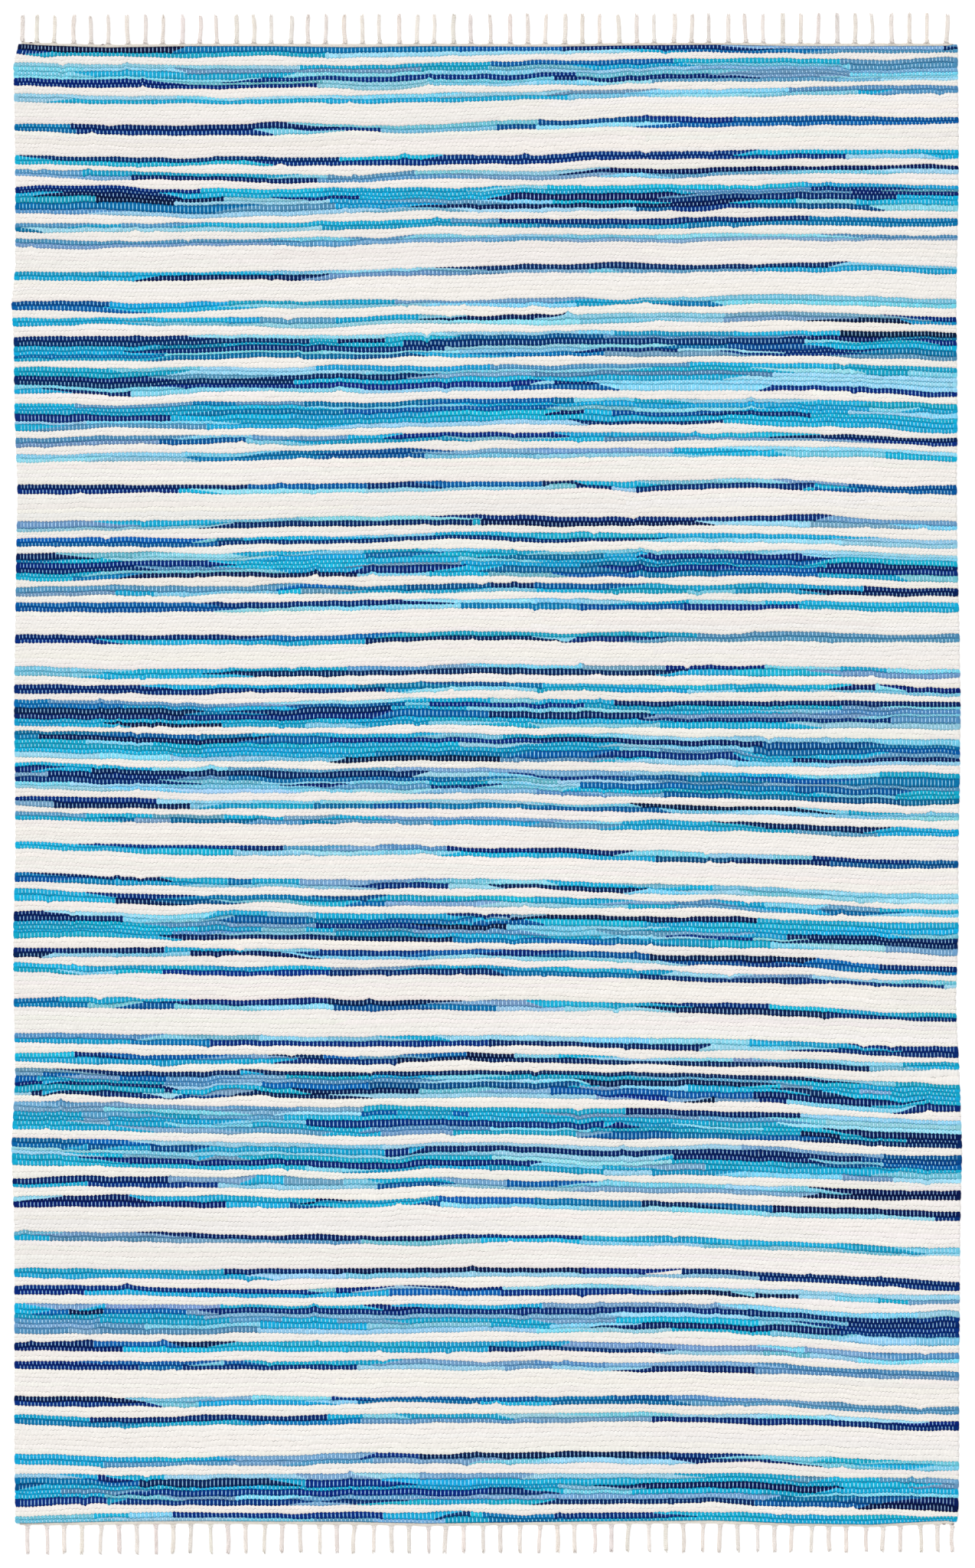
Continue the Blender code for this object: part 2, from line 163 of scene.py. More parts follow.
# Blue stripes: where each starts and stops, in units down, then a string for
# each pick from the far side: a rag's letter and where it starts across. A
# rag with u or d after that place comes in along a long taper, on the far
# side (u) or the near side (d) of the rag before it. Then + or ++ marks a rag
# that is stouter than the rest of its stripe, and - or -- a thinner one.
STRIPES = (
    (60, 70, "N28+ C232 B600 N735+ L975u N1234 S1246", "N28 A45- P425 A820- B872-- C1000+ S1070"),
    (80, 110, "Q20 P330 T390 B642+ T880+ S1100++", "K20+ Q110 L235 T548 K640 A760 K900- S1110++",
     "K20+ T108++ A225++ T310+ Q378 K560+ P700 L905", "Q20-- N318+ K755+ L960 K1110",
     "N20 K222- Q420 K560- N722 L960u P1100--", "N20 P417 K560- P640- K700+ P775-- S850 K1095- P1150--"),
    (120, 130, "P20 K230 P300- K440 P590 L730- K840 S1030", "P20 A78 T200 A430 T580 K745+ Q850- K1000 T1120-- S1155"),
    (158, 170, "C20 N92 K410u B705 N850 B960", "C20 N100 K345 N415u+ K498 B648+ Q702 B858"),
    (201, 212, "T20 N45 T443-- N565 T975", "T20 N340 P1107 T1220"),
    (222, 232, "S20+ T108 K370- S430 Q540- P620 N765d", "L20- N172+ S415 L600 K800- S860- K1035 P1160+"),
    (243, 277, "N20- T262 A420 T505 K640-- T715 A1050", "N20- T222 A420 T520 T720 S900-- N1062- S1180--",
     "T20 N62- P290- N378-- T472 N652++ S885-- N1115-", "T20++ N125- P228- A430 S520+ K650 T720- N850+ T1172",
     "C20++ S310++ A440 N560 T975- Q1040 T1120+", "S20 P140 K500 P600- B830 N880+ B980+ Q1145++"),
    (287, 298, "S20- A110- S160 A245 T540 S590+ N652 C1057", "C20-- P42 A418 C700 A820-- C900"),
    (309, 316, "S20 K372- S460-- K530 P640 K720 Q860 S1100+", "L20 S355+ L470 S650 L720"),
    (350, 360, "A20 T150- K345- Q430- P545-- N600u+ K1097--", "A20 N190+ L413+ S585 L640 K770-- S800- A985+"),
    (390, 402, "B20 A142 T300- A420 L515 A752 K835", "B20 T165 K310+ Q380 K560 A755 C870 K938"),
    (412, 423, "T20 A300++ S340 A440 K545+ N578d Q718 L947 N1188u+",
     "A20 K180- P325 Q590 K760 P860 L947 N1090d+ A1185-"),
    (435, 467, "N20+ Q262 P585- K755 A800 T960 N1100+", "N20+ T405-- N440- T505+ B582 S790-- N1040 C1150--",
     "A20 C200 A290-- T450 N525++ K1050-- T1100-- N1205+", "A20 N187+ P582- Q760- C870- B950++ T1070",
     "C20-- K215-- Q420-- K600 N765-- P885-- N1000- C1130+", "A20- C205+ B460 A545 C640 L792+ N965- S1105"),
    (477, 512, "T20 K150- P260 A412 S640 A900 T1090", "T20 P235 K480- Q640- T830 P1010 T1120 K1190",
     "N20 S212 N335+ L552 S700 P1010", "N20 T385 A760+ P962",
     "K20- N220 N400+ P702- N725-- Q775 P960", "A20 N75-- K170+ Q260 P470- B672+ K795+ N1002"),
    (523, 558, "T20- S98- C250- S310- C397 B565 C725+ K752-- T830 P890- T1045 A1130+",
     "T20- A120 T270 K420-- A600-- T790 A1000 K1135- A1190-", "T20 C255+ B450 B650 K720 Q830 A980 P1110-- K1200+",
     "N20++ T225+ A380+ T560 N722-- T765+ B800 N930- T1058", "P20-- K110- T293 A470+ T640 A760++ T930 A1060",
     "T20++ S62 A270 P442 N757-- T948 A1110"),
    (567, 578, "S20 K240-- S330 T455- N512+ T735 A800 T930+ N1040d",
     "L20 B205+ K322 T392- A432 K600 T712 S790 L900- N1108u"),
    (588, 599, "Q20 K240+ C337 B430 L568 L700 T882 Q965-", "Q20 P130 C250 B420 K555 Q700 T900 K1020+ T1160+"),
    (630, 642, "N20 B325+ N480 B560+ N710-- T757+ K850- Q950- L1020-- B1110",
     "N20 T235- Q270 P475- K720++ N752- P800-- N832+ T1058+ B1092"),
    (676, 688, "L20+ A152++ K285-- Q400- N595u L1077", "P20-- N282+ T620 N630 P922- L1060 K1180"),
    (699, 710, "B20 K262-- C284-- T318- A400- K480-- A570 T700++ A860 P1118", "B20 N283 K852 Q960 P1100"),
    (720, 754, "N20+ K97+ Q200 T312 K400- A475-- K560-- T620 K700- P1010 P1100--",
     "C20-- T75 P147- A340 C475 T560 C650+ A790-- N840+ K1068--", "N20+ T290 A480+ K600-- T700- C860- B960 T1072+",
     "N20 S190 T300 L480-- A600 C760 A860-- N1080+ N1150", "T20- K120- A365 N465++ A590+ C640++ N800+ B960 N1070+",
     "T20- C95 N170 K465-- T560 K640 B730- C830+ B960 A1070 K1180++"),
    (764, 776, "S20+ B377- C450+ B530+ N640+ B700+ T820 A1000 N1127",
     "L20- A150 K200- T365 S392+ A457- K620- A700- T790 K900-- A960 N1062"),
    (785, 797, "B20 N278+ N480 Q560u K700- Q760 T820-- K900- T1000", "B20 Q300- K400 Q520 C602+ B760+ N895+ T1043"),
    (828, 840, "N20 B330 T507 A850 S912", "N20 A142- T200 A320 N478 K730u N745+ S845"),
    (871, 883, "K20 T150 A240 T300- S455 L560- K622- L760+ N872- K1000-- Q1060-- T1100- K1160",
     "K20 T120 N300u+ A878 T960++ L1078+"),
    (894, 905, "N20 A205- T420- C462+ B580 C660+ A707 T850 A945 T1060+ N1100+ K1145 N1165",
     "N20 A505-- Q540 K620 T700 A800 K900-- T960 K1060-"),
    (915, 950, "C20 S62- L300- Q375- T530- K640 T700 N800",
     "C20+ A160- T280 B382- K530-- N560 A762 T900- S1100 K1180--",
     "N20+ C255- N320+ A512- K608 Q740- T850- K1010- S1080", "N20+ N240+ B500++ N640++ L850 K1130--",
     "T20- A120- T300- A450- T560- A640 N855- S1165++",
     "A20- T80- N152- A292 K400+ A470- K560 T640 Q700- A862++ P1052+"),
    (960, 995, "C20- B130 C262 A330-- T425- K560 A655- K775 P850-- Q960 K1105+",
     "C20 N48 B330++ N430 N700 B1000++ C1140-", "T20 K110- T200 A430 T560 P602 A680 P800-- K870 C985++ B1140",
     "T20 A265 T440 A600 K810-- S860-- A985-- T1070+ S1145+", "T20- A265 C492 B680++ N787++ A968-- N1035-",
     "P20+ K130++ P220 K330- N442+ S652- T792-- P832+ K960 P1080-"),
    (1005, 1038, "T20- A155-- K200- S300-- L518 L700++ P832- T915- K1050- T1150",
     "N20++ T62- N118+ N350++ P550+ K640 N700u-- B800 C900+ B985+ C1100++",
     "L20+ N60+ N150+ S240-- C300 B470- C560 K650 P730- S850-- L1000-- S1120-",
     "N20+ K235 Q340-- K460 T560 K640 P700- B760++ C900+ B1040++ T1182-",
     "K20- P90- K210 N395+ S437+ N565-- K638 T745 A860- T960- K1080-- T1170-",
     "P20- K150 P230 K380 P460 L558+ S700 L780 B868+ C960 B1060+ C1180"),
    (1049, 1059, "N20 P205- K330- Q420- P560- K700- N832 K1067 T1110 K1160",
     "L20++ N70 K247+ A272+ T330+ C412+ B488+ C560+ B700+ K868 P960+ K1050 Q1170"),
    (1070, 1080, "S20 A110 S200 A290 T330- L372- A430 L500- L600- K752- A815 T930- N965u+ A1148 T1200-",
     "A20 C146 L178 C225 S330+ C392 S430 A566+ S700+ A800 A940- S1040- A1146"),
    (1109, 1121, "T20 N130-- N310 S370- L440 S500 N585 N700 K816 Q930+ K1010 N1062- B1190",
     "T20 A110 T200++ Q308+ P400 K480 T590 A700 B858- N960 B1085"),
    (1152, 1164, "C20 N62-- A218+ C300+ A330+ L392++ L480-- K560 Q640+ T722 K830 T880+ K935 P1060 K1120",
     "B20+ C90++ A152+ P250-- K330- P395-- N475+ P588 N648 K832 P900 K975 Q1060 P1150"),
    (1173, 1186, "T20 N132 C230 B430 A492+ T600 A700+ L805- S880 A945+ K1000 S1075 T1150",
     "T20 N150 B220 K300-- T400 C460 L505 P640- Q730- A822+ S880 A1000 C1080- K1158"),
    (1196, 1233, "N20+ P78 K200+ T275 K350 A412+ T500+ N602-- L655 N690 N850 T992 A1080 T1150+ A1200",
     "N20+ K158+ Q200- K260-- B295++ C400 B470 C540 A605++ B640 T700+ A840 T920 T1100",
     "A20 T90 S205 L300 N410 N560- K662+ Q760- T850 A960 T1050 K1180--",
     "A20 T150 A260+ K340 T400 S435-- L540- S640+ K700+ S790 L880-- A970 N1030-",
     "A20-- A145 S225- Q305- A440 T560 A680-- K785- P850-- N905u-- Q985-- N1030-",
     "T20+ A150 N222 N430 C590 B700 C790+ A862++ T930++ K1010+ P1060+ L1160+"),
    (1245, 1257, "N20+ N88+ T215- K320- N402+ B545+ N640+ B720+ N850+ B1060 N1150+",
     "N20+ P62 K150- N250+ K395- Q560- K700-- Q800-- B882- N960 B1040 C1110-"),
    (1266, 1278, "T20 A110+ T200+ A280- T340- L432-- T545-- A640- T720-- A800 P875 L960- P1060- K1160",
     "T20 K90-- T150 N212 N430+ C652+ N835 N1040 P1237"),
    (1309, 1322, "C20 A78 T150-- N228 N430 L580- L640 T697+ A800 N878 T1003- A1100 T1180",
     "C20 K115-- B168++ K228 Q330 B437 C560+ P648- Q740 N858 N1080"),
    (1356, 1369, "S20 K195- K250 Q340 K430- A520- Q580 P680 K760 Q850 T980++ A1012 N1145u",
     "A20 A100 C170 N272 N640 P922 K1000+ N1062d"),
    (1380, 1391,
     "T20 N95-- B150 S278 L330- N372 B420-- S470-- B545+ N610 K672- A730-- P780 Q880- L960- K1010- Q1100 T1180",
     "T20 T125 T220 A300+ N372+ N520 N640 N800+ K1137 T1200"),
    (1402, 1437, "L20- N105u T312 N325 P1088u-- K1140 T1170",
     "L20- B57- L90+ B153 S217 L300 T372-- A480-- K560 A640 S852-- T1027 A1120 T1180",
     "B20++ T47 A63- S215- L300 S387 P563-- K700-- N763+ T995 L1020-- A1060-- T1100 L1123- T1167",
     "N20-- A57 N66-- P223-- B340+ B480+ T753 L763 K810 A897++ T960 N1033++ T1097 A1180",
     "T20++ N213 T223 T340 N393 K550 L640 B720++ N987++ T1175d-",
     "P20-- N42 T53 N66- N130++ N165 P213 N227-- L275++ N317 P460 L777-- N805 L873-- N917 L933- N993 K1027 N1183++"),
    (1449, 1485, "L20 S73 L103 S300- L390 T477 N817+ P1045",
     "L20 K137 L310 P373- B473- A517 B593 T612 L730- S913 K1030+ P1080",
     "T20 S107+ A200 S260 T373 A640 T720 A930+ P1030",
     "A20 L110-- T140 A197 K300-- N400+ A787 N803 A813- K900-- T1000 N1100+",
     "T20 L113-- A140+ K223-- A330 S477 K640-- T773 N1047+ A1097-- N1187",
     "T20 A90+ L177+ S300+ T427- L497 A590 L753 B773++ C880+ B980 N1067"),
    (1496, 1532, "C20 B100+ P187 K400- P500- L970- B1153",
     "B20 A103 B113 A147 B197++ A263 N503++ A534 N543+ N883 B1127",
     "P20- K150 P340-- K520- P640 T868 N883 K1067-- B1153",
     "P20- T110 L163-- T257 L264- T317 P643 T877 A1030+ B1070- A1153- T1200--",
     "A20+ N134u+ K700-- T787 L840+ A920 T1003+ A1060++ K1157+",
     "A20+ T77 K400- T470-- A560-- T640 P790+ A853 K953 L1103+ P1170"),
    (1543, 1556, "N20+ L220 A323+ L370+ K450 A490 L583+ B662+ K757 P950 K1010 N1087",
     "T20-- N113 P287- B493 P583- L757 N1060"),
    (1568, 1581, "P20- N55 A183 T280 N410-- A440 T520 B572+ C700+ N840 B933+ N1010 N1160++",
     "N20 A297 B380- T413 B550 K577- P760- K880 P1000- N1222"),
    (1616, 1627, "K20- L62 N215u N583- T763 A840+ T913+ A1110+ K1190++",
     "T20+ S63 L200 S320- K470+ T630 K760 P850-- K920- P1010 K1100- P1180--"),
    (1660, 1672, "T20 N290 N440 N760++ W880d- N893", "A20 P340 K450 P560 P830- N995"),
    (1683, 1694, "N20 K410-- N440+ P487-- N560u-- P655-- K770- P840",
     "N20 T107 B507++ N653+ N870+ K975 N988-- P1043 K1090+ T1147-- L1187--"),
    (1706, 1744, "T20 L53 A123 L137- A287-- N487+ A532- L707 K955 P1200", "T20 B53 N87 B137 L243 N273+ N953 N1200-",
     "A20 T120 L267 P803 K980- N1110-", "S20 A130+ S300 A370+ L440- A520 L710- T807+ K993- N1063-",
     "L20 S123+ K190- T340+ K480 T640- K720- N805d+ N1100-",
     "S20+ L90 S130+ P337 K700- P760 T880-- K1010 P1107++ K1200++"),
    (1755, 1768, "N20 B120+ N230+ A290 T400 A560 L740+ K1015 L1050 S1150+",
     "N20 T160 A450 T560 N640- P870- K1000 P1060 K1120-"),
    (1781, 1792, "N20 B125- K270- B290 T335 A440+ L507 S700 L790 S1010", "N20 B180 N240+ P467 L660 P720 N827+ S987 L1150-"),
    (1827, 1837, "N20 K176 L260- K330 N435-- B468 C700 B800 S873 L980- S1080",
     "N20 K203 A257+ K420++ C467+ T627- C720 S895"),
    (1849, 1861, "A20 N117+ A427- K475- A527 P662 K757 P883- K1000- P1080 N1180d",
     "C20+ T173- C320 S473 L700 N853+ N1100"),
    (1901, 1914, "A20 T200 A260 L300 L420+ N480-- N550 N860 K960d+ T1073 K1150-",
     "T20 S133 L300 S380- L487 K640- P713 N893- K1040u T1147+ K1205"),
    (1926, 1966, "P20- A93- N127+ A157- P213- L393 P477 L550 P690 A900- S1037 T1070 S1150 L1210-",
     "C20+ B137+ N183++ A373+ N400++ A520+ T640+ A760++ T830- A1000- T1100+ A1150 L1210-",
     "B20 A40- T160-- A250-- T350-- A463-- K730- N812u+ T1085",
     "A20- S80 N173+ N390+ N640++ A710+ K740- T827 A900 T1000- K1063--",
     "A20- K135- L225-- K307- S390 L545-- L640- L710 C1010 B1110++ N1180+",
     "N20++ A141 N148+ L395-- N440 T500d- A560 T640 N713- B985 N1130"),
    (1977, 1988, "K20 T120 K170+ N225+ T500+ N585-- T613 C630 N725+ T883 A1010 T1100",
     "K20 P150- K300-- S407-- L487-- A580 C640 A740-- T883 A1000"),
)

# Selvedges in millimetres: along the rug, left edge, right edge.
SELVEDGE = (
    (-1190.0, -762.0, 760.0), (-1183.2, -762.0, 762.0), (-1065.1, -763.5, 763.5),
    (-945.7, -763.5, 763.2), (-827.0, -763.5, 764.5), (-708.2, -763.9, 765.4),
    (-589.4, -768.2, 768.2), (-470.7, -762.0, 764.0), (-351.9, -764.5, 758.0),
    (-233.2, -765.0, 762.6), (-114.4, -762.0, 762.0), (4.3, -762.3, 764.5),
    (123.1, -764.0, 765.6), (241.8, -762.3, 764.0), (360.6, -760.6, 760.8),
    (479.3, -758.5, 759.5), (598.1, -763.2, 760.8), (716.8, -764.5, 759.5),
    (776.2, -768.2, 758.8), (835.6, -762.0, 759.8), (954.3, -761.8, 762.3),
    (1073.1, -763.2, 762.6), (1160.0, -765.0, 761.0), (1179.0, -761.5, 762.0),
    (1188.0, -757.5, 761.0),
)

# Ends in millimetres: across the rug, where the field and the heading stop at
# the far end, and where they stop at the near end.
ENDS = (
    (-752.0, 1195.0, 1198.4, -1195.0, -1198.0), (-725.0, 1193.0, 1197.4, -1194.6, -1198.4),
    (-613.0, 1189.2, 1194.6, -1192.2, -1197.6), (-480.0, 1191.4, 1195.8, -1191.0, -1196.2),
    (-350.0, 1191.4, 1196.0, -1192.0, -1197.0), (-225.0, 1189.6, 1195.4, -1192.4, -1197.6),
    (-94.0, 1191.4, 1196.0, -1195.2, -1199.8), (104.0, 1190.4, 1195.4, -1192.6, -1197.8),
    (234.0, 1192.6, 1196.8, -1191.4, -1196.4), (364.0, 1193.8, 1197.6, -1190.2, -1195.4),
    (494.0, 1191.6, 1196.4, -1195.2, -1199.6), (623.0, 1191.4, 1196.2, -1197.0, -1201.0),
    (720.0, 1191.8, 1196.4, -1191.8, -1197.2), (746.0, 1192.0, 1196.4, -1190.8, -1196.8),
    (757.0, 1194.4, 1196.8, -1192.8, -1196.8),
)

# Tassels in millimetres: end, the run's first tassel, its place across, the
# pitch of its groups of three, and the second and third places in a group.
TASSELS = 52
TASSEL_RUNS = (
    ("top", 0, -751.1, 87.74, 31.9, 59.9), ("top", 1, -727.5, 87.74, 27.8, 59.7),
    ("top", 26, 6.2, 88.14, 31.7, 60.1), ("bottom", 0, -742.8, 88.14, 31.5, 59.4),
    ("bottom", 27, 53.8, 87.83, 32.4, 59.9), ("bottom", 51, 752.6, 87.83, 32.4, 59.9),
)
CORD_WIDTHS = (7.0, 6.5, 5.8)
TIPS = {"top": (1242.4, 1245.8), "bottom": (-1245.8, -1241.8)}
HEADING_SPAN = {"top": (-0.752, 0.754), "bottom": (-0.755, 0.755)}
WARP_PITCH = 0.003175       # eight ends to the inch
# Thread tails on the headings: end, place across in millimetres and length.
THREAD_TAILS = (("top", -738.5, 4.2), ("top", -622.0, 3.4), ("bottom", 737.5, 4.0), ("bottom", 752.0, 3.6))


# ==================================================================== helpers
def srgb(r, g, b):
    """Linear colour from a dyer's-card colour of 0 to 255."""
    out = []
    for c in (r / 255.0, g / 255.0, b / 255.0):
        out.append(c / 12.92 if c <= 0.04045 else ((c + 0.055) / 1.055) ** 2.4)
    return out


def wave(rows, places, step, rng):
    """Smooth seeded noise of about unit size: a row for each thing, a column for each place."""
    places = np.asarray(places, float)
    at = (places - places.min()) / step
    knots = rng.normal(size=(rows, int(at.max()) + 5))
    i = np.floor(at).astype(int)
    t = at - i
    a, b, c, d = (knots[:, i + k] for k in range(4))
    return 0.5 * (2 * b + (c - a) * t + (2 * a - 5 * b + 4 * c - d) * t ** 2
                  + (3 * b - a - 3 * c + d) * t ** 3)


def smooth_table(rows, column, at):
    """Value of a table's column at places in its first column, by straight lines."""
    pts = sorted((r[0], r[column]) for r in rows)
    return np.interp(at, [p[0] for p in pts], [p[1] for p in pts])


def mesh_from_arrays(name, verts, loops, starts, totals):
    me = bpy.data.meshes.new(name)
    me.vertices.add(len(verts))
    me.vertices.foreach_set("co", np.ascontiguousarray(verts, dtype=np.float32).ravel())
    me.loops.add(len(loops))
    me.loops.foreach_set("vertex_index", np.ascontiguousarray(loops, dtype=np.int32))
    me.polygons.add(len(starts))
    me.polygons.foreach_set("loop_start", np.ascontiguousarray(starts, dtype=np.int32))
    me.update(calc_edges=True)
    me.validate()
    me.shade_smooth()
    return me


def set_uv(me, name, uv):
    layer = me.uv_layers.new(name=name)
    layer.data.foreach_set("uv", np.ascontiguousarray(uv, dtype=np.float32).ravel())
    return layer


def set_colour(me, name, rgba):
    layer = me.color_attributes.new(name=name, type="FLOAT_COLOR", domain="CORNER")
    layer.data.foreach_set("color", np.ascontiguousarray(rgba, dtype=np.float32).ravel())


def add_piece(name, me, material, nodes):
    ob = bpy.data.objects.new(name, me)
    bpy.context.scene.collection.objects.link(ob)
    me.materials.append(material)
    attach(ob, "root")
    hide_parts(*nodes)
    return ob


# ================================================================== materials
class Nodes:
    """Short calls for building a node tree."""

    def __init__(self, name):
        self.mat = bpy.data.materials.new(name)
        self.mat.use_nodes = True
        self.tree = self.mat.node_tree
        self.bsdf = self.tree.nodes["Principled BSDF"]

    def new(self, kind, **values):
        n = self.tree.nodes.new(kind)
        for key, value in values.items():
            setattr(n, key, value)
        return n

    def join(self, out, socket):
        if hasattr(out, "is_output"):
            self.tree.links.new(out, socket)
        else:
            socket.default_value = out

    def math(self, op, a, b=0.0, c=None, clamp=False):
        n = self.new("ShaderNodeMath", operation=op, use_clamp=clamp)
        self.join(a, n.inputs[0])
        self.join(b, n.inputs[1])
        if c is not None:
            self.join(c, n.inputs[2])
        return n.outputs[0]

    def ramp(self, value, lo, hi, to_lo=0.0, to_hi=1.0, smooth=True):
        n = self.new("ShaderNodeMapRange", interpolation_type="SMOOTHSTEP" if smooth else "LINEAR")
        self.join(value, n.inputs["Value"])
        for key, v in (("From Min", lo), ("From Max", hi), ("To Min", to_lo), ("To Max", to_hi)):
            n.inputs[key].default_value = v
        return n.outputs["Result"]

    def mix(self, factor, a, b, blend="MIX"):
        n = self.new("ShaderNodeMix", data_type="RGBA", blend_type=blend)
        self.join(factor, n.inputs[0])
        self.join(a, n.inputs[6])
        self.join(b, n.inputs[7])
        return n.outputs[2]

    def noise(self, vector, scale, detail=2.0, rough=0.5):
        n = self.new("ShaderNodeTexNoise")
        self.join(vector, n.inputs["Vector"])
        n.inputs["Scale"].default_value = scale
        n.inputs["Detail"].default_value = detail
        n.inputs["Roughness"].default_value = rough
        return n.outputs["Fac"]

    def stretched(self, vector, sx, sy, sz):
        n = self.new("ShaderNodeMapping")
        self.join(vector, n.inputs["Vector"])
        n.inputs["Scale"].default_value = (sx, sy, sz)
        return n.outputs["Vector"]

    def scale_colour(self, colour, value):
        """Colour times a grey value."""
        n = self.new("ShaderNodeVectorMath", operation="SCALE")
        self.join(colour, n.inputs[0])
        self.join(value, n.inputs["Scale"])
        return n.outputs["Vector"]

    def bump(self, height, distance, strength=1.0, normal=None):
        n = self.new("ShaderNodeBump")
        self.join(height, n.inputs["Height"])
        n.inputs["Distance"].default_value = distance
        n.inputs["Strength"].default_value = strength
        if normal is not None:
            self.join(normal, n.inputs["Normal"])
        return n.outputs["Normal"]


def rag_material():
    g = Nodes("rag_weave")
    place = g.new("ShaderNodeTexCoord").outputs["Object"]
    rag = g.new("ShaderNodeAttribute", attribute_name="rag")
    weave = g.new("ShaderNodeSeparateXYZ")
    g.join(g.new("ShaderNodeUVMap", uv_map="weave").outputs["UV"], weave.inputs[0])
    u, v = weave.outputs["X"], weave.outputs["Y"]
    # distance from the warp crossing (0) to the rib's middle (0.5)
    across = g.math("PINGPONG", u, 0.5)
    # distance from the crease (0) to the pick's middle (0.5)
    along = g.math("PINGPONG", v, 0.5)

    folds = g.noise(g.stretched(place, 70.0, 950.0, 300.0), 1.0, 3.0, 0.6)
    blotch = g.noise(g.stretched(place, 120.0, 160.0, 120.0), 1.0, 2.0, 0.5)
    fuzz = g.noise(place, 1400.0, 2.0, 0.7)
    broad = g.noise(g.stretched(place, 3.0, 5.0, 3.0), 1.0, 2.0, 0.5)

    dyed = g.ramp(rag.outputs["Alpha"], 0.30, 0.6, 0.36, 1.0)
    # painted light and shade along the rags' small folds, with random tone in blotches, fuzz and broad patches
    tone = g.math("ADD", g.ramp(folds, 0.25, 0.75, -0.14, 0.12), g.ramp(blotch, 0.3, 0.7, -0.07, 0.07))
    tone = g.math("ADD", tone, g.ramp(fuzz, 0.2, 0.8, -0.05, 0.05))
    tone = g.math("ADD", tone, g.ramp(broad, 0.3, 0.7, -0.02, 0.02))
    tone = g.math("ADD", 1.0, g.math("MULTIPLY", tone, dyed))
    # painted shade: darker in the creases between picks and beside each warp end
    crease = g.ramp(along, 0.0, 0.17, 0.74, 0.0)
    tuck = g.ramp(across, 0.08, 0.28, 0.20, 0.0)
    shade = g.math("MULTIPLY", g.math("ADD", crease, tuck), g.ramp(rag.outputs["Alpha"], 0.30, 0.6))
    # painted shade: cream rags meet in a fine dark crease line that comes and goes
    cream_crease_shade = g.math("MULTIPLY", g.ramp(along, 0.0, 0.11, 0.52, 0.0), g.ramp(blotch, 0.38, 0.64, 0.18, 1.0))
    cream_crease_shade = g.math("MULTIPLY", cream_crease_shade, g.ramp(rag.outputs["Alpha"], 0.30, 0.6, 1.0, 0.0))
    tone = g.math("MULTIPLY", tone, g.math("SUBTRACT", 1.0, cream_crease_shade))
    cloth = g.scale_colour(rag.outputs["Color"], tone)
    # the painted crease shade takes more of a dyed rag's red than of its blue
    painted_crease_tint = g.mix(shade, (1.0, 1.0, 1.0, 1.0), (0.0, 0.26, 0.34, 1.0))
    cloth = g.mix(1.0, cloth, painted_crease_tint, "MULTIPLY")

    # the warp end shows as a thin pale thread where it crosses over the rag
    ply = g.math("SINE", g.math("ADD", g.math("MULTIPLY", v, 44.0), g.math("MULTIPLY", u, 60.0)))
    width = g.ramp(along, 0.0, 0.34, 0.022, 0.112)
    edge = g.math("SUBTRACT", width, across)
    thread = g.ramp(edge, -0.018, 0.018, 0.0, 1.0)
    thread = g.math("MULTIPLY", thread, rag.outputs["Alpha"])
    # half sunk between dyed rags, it gets a painted reflection: their colour bounced onto it, made bluer still
    plain = g.new("ShaderNodeRGB")
    plain.outputs[0].default_value = (*srgb(224, 222, 218), 1.0)
    rag_bounce = g.new("ShaderNodeGamma")
    g.join(rag.outputs["Color"], rag_bounce.inputs["Color"])
    rag_bounce.inputs["Gamma"].default_value = 0.11
    painted_bounce_tint = g.mix(1.0, rag_bounce.outputs[0], (0.82, 1.10, 1.30, 1.0), "MULTIPLY")
    ends = g.mix(g.ramp(rag.outputs["Alpha"], 0.30, 0.6), plain.outputs[0], painted_bounce_tint)
    # painted shade in the grooves of the warp's twist, lighter on its plies
    warp = g.scale_colour(ends, g.ramp(ply, -1.0, 1.0, 0.92, 1.06))
    colour = g.mix(thread, cloth, warp)
    g.join(colour, g.bsdf.inputs["Base Color"])

    rough = g.math("ADD", g.ramp(folds, 0.2, 0.8, 0.84, 0.96), g.math("MULTIPLY", thread, -0.06))
    g.join(rough, g.bsdf.inputs["Roughness"])
    g.bsdf.inputs["Specular IOR Level"].default_value = 0.05
    g.bsdf.inputs["Sheen Weight"].default_value = 0.01
    g.bsdf.inputs["Sheen Roughness"].default_value = 0.5

    pillow = g.math("MULTIPLY", g.ramp(across, 0.05, 0.5, 0.0, 1.0), g.ramp(along, 0.0, 0.42, 0.25, 1.0))
    height = g.math("ADD", pillow, g.math("MULTIPLY", folds, 0.55))
    height = g.math("ADD", height, g.math("MULTIPLY", fuzz, 0.12))
    height = g.math("ADD", height, g.math("MULTIPLY", thread, g.ramp(ply, -1.0, 1.0, 0.5, 0.75)))
    g.join(g.bump(height, 0.0009, 0.8), g.bsdf.inputs["Normal"])
    return g.mat


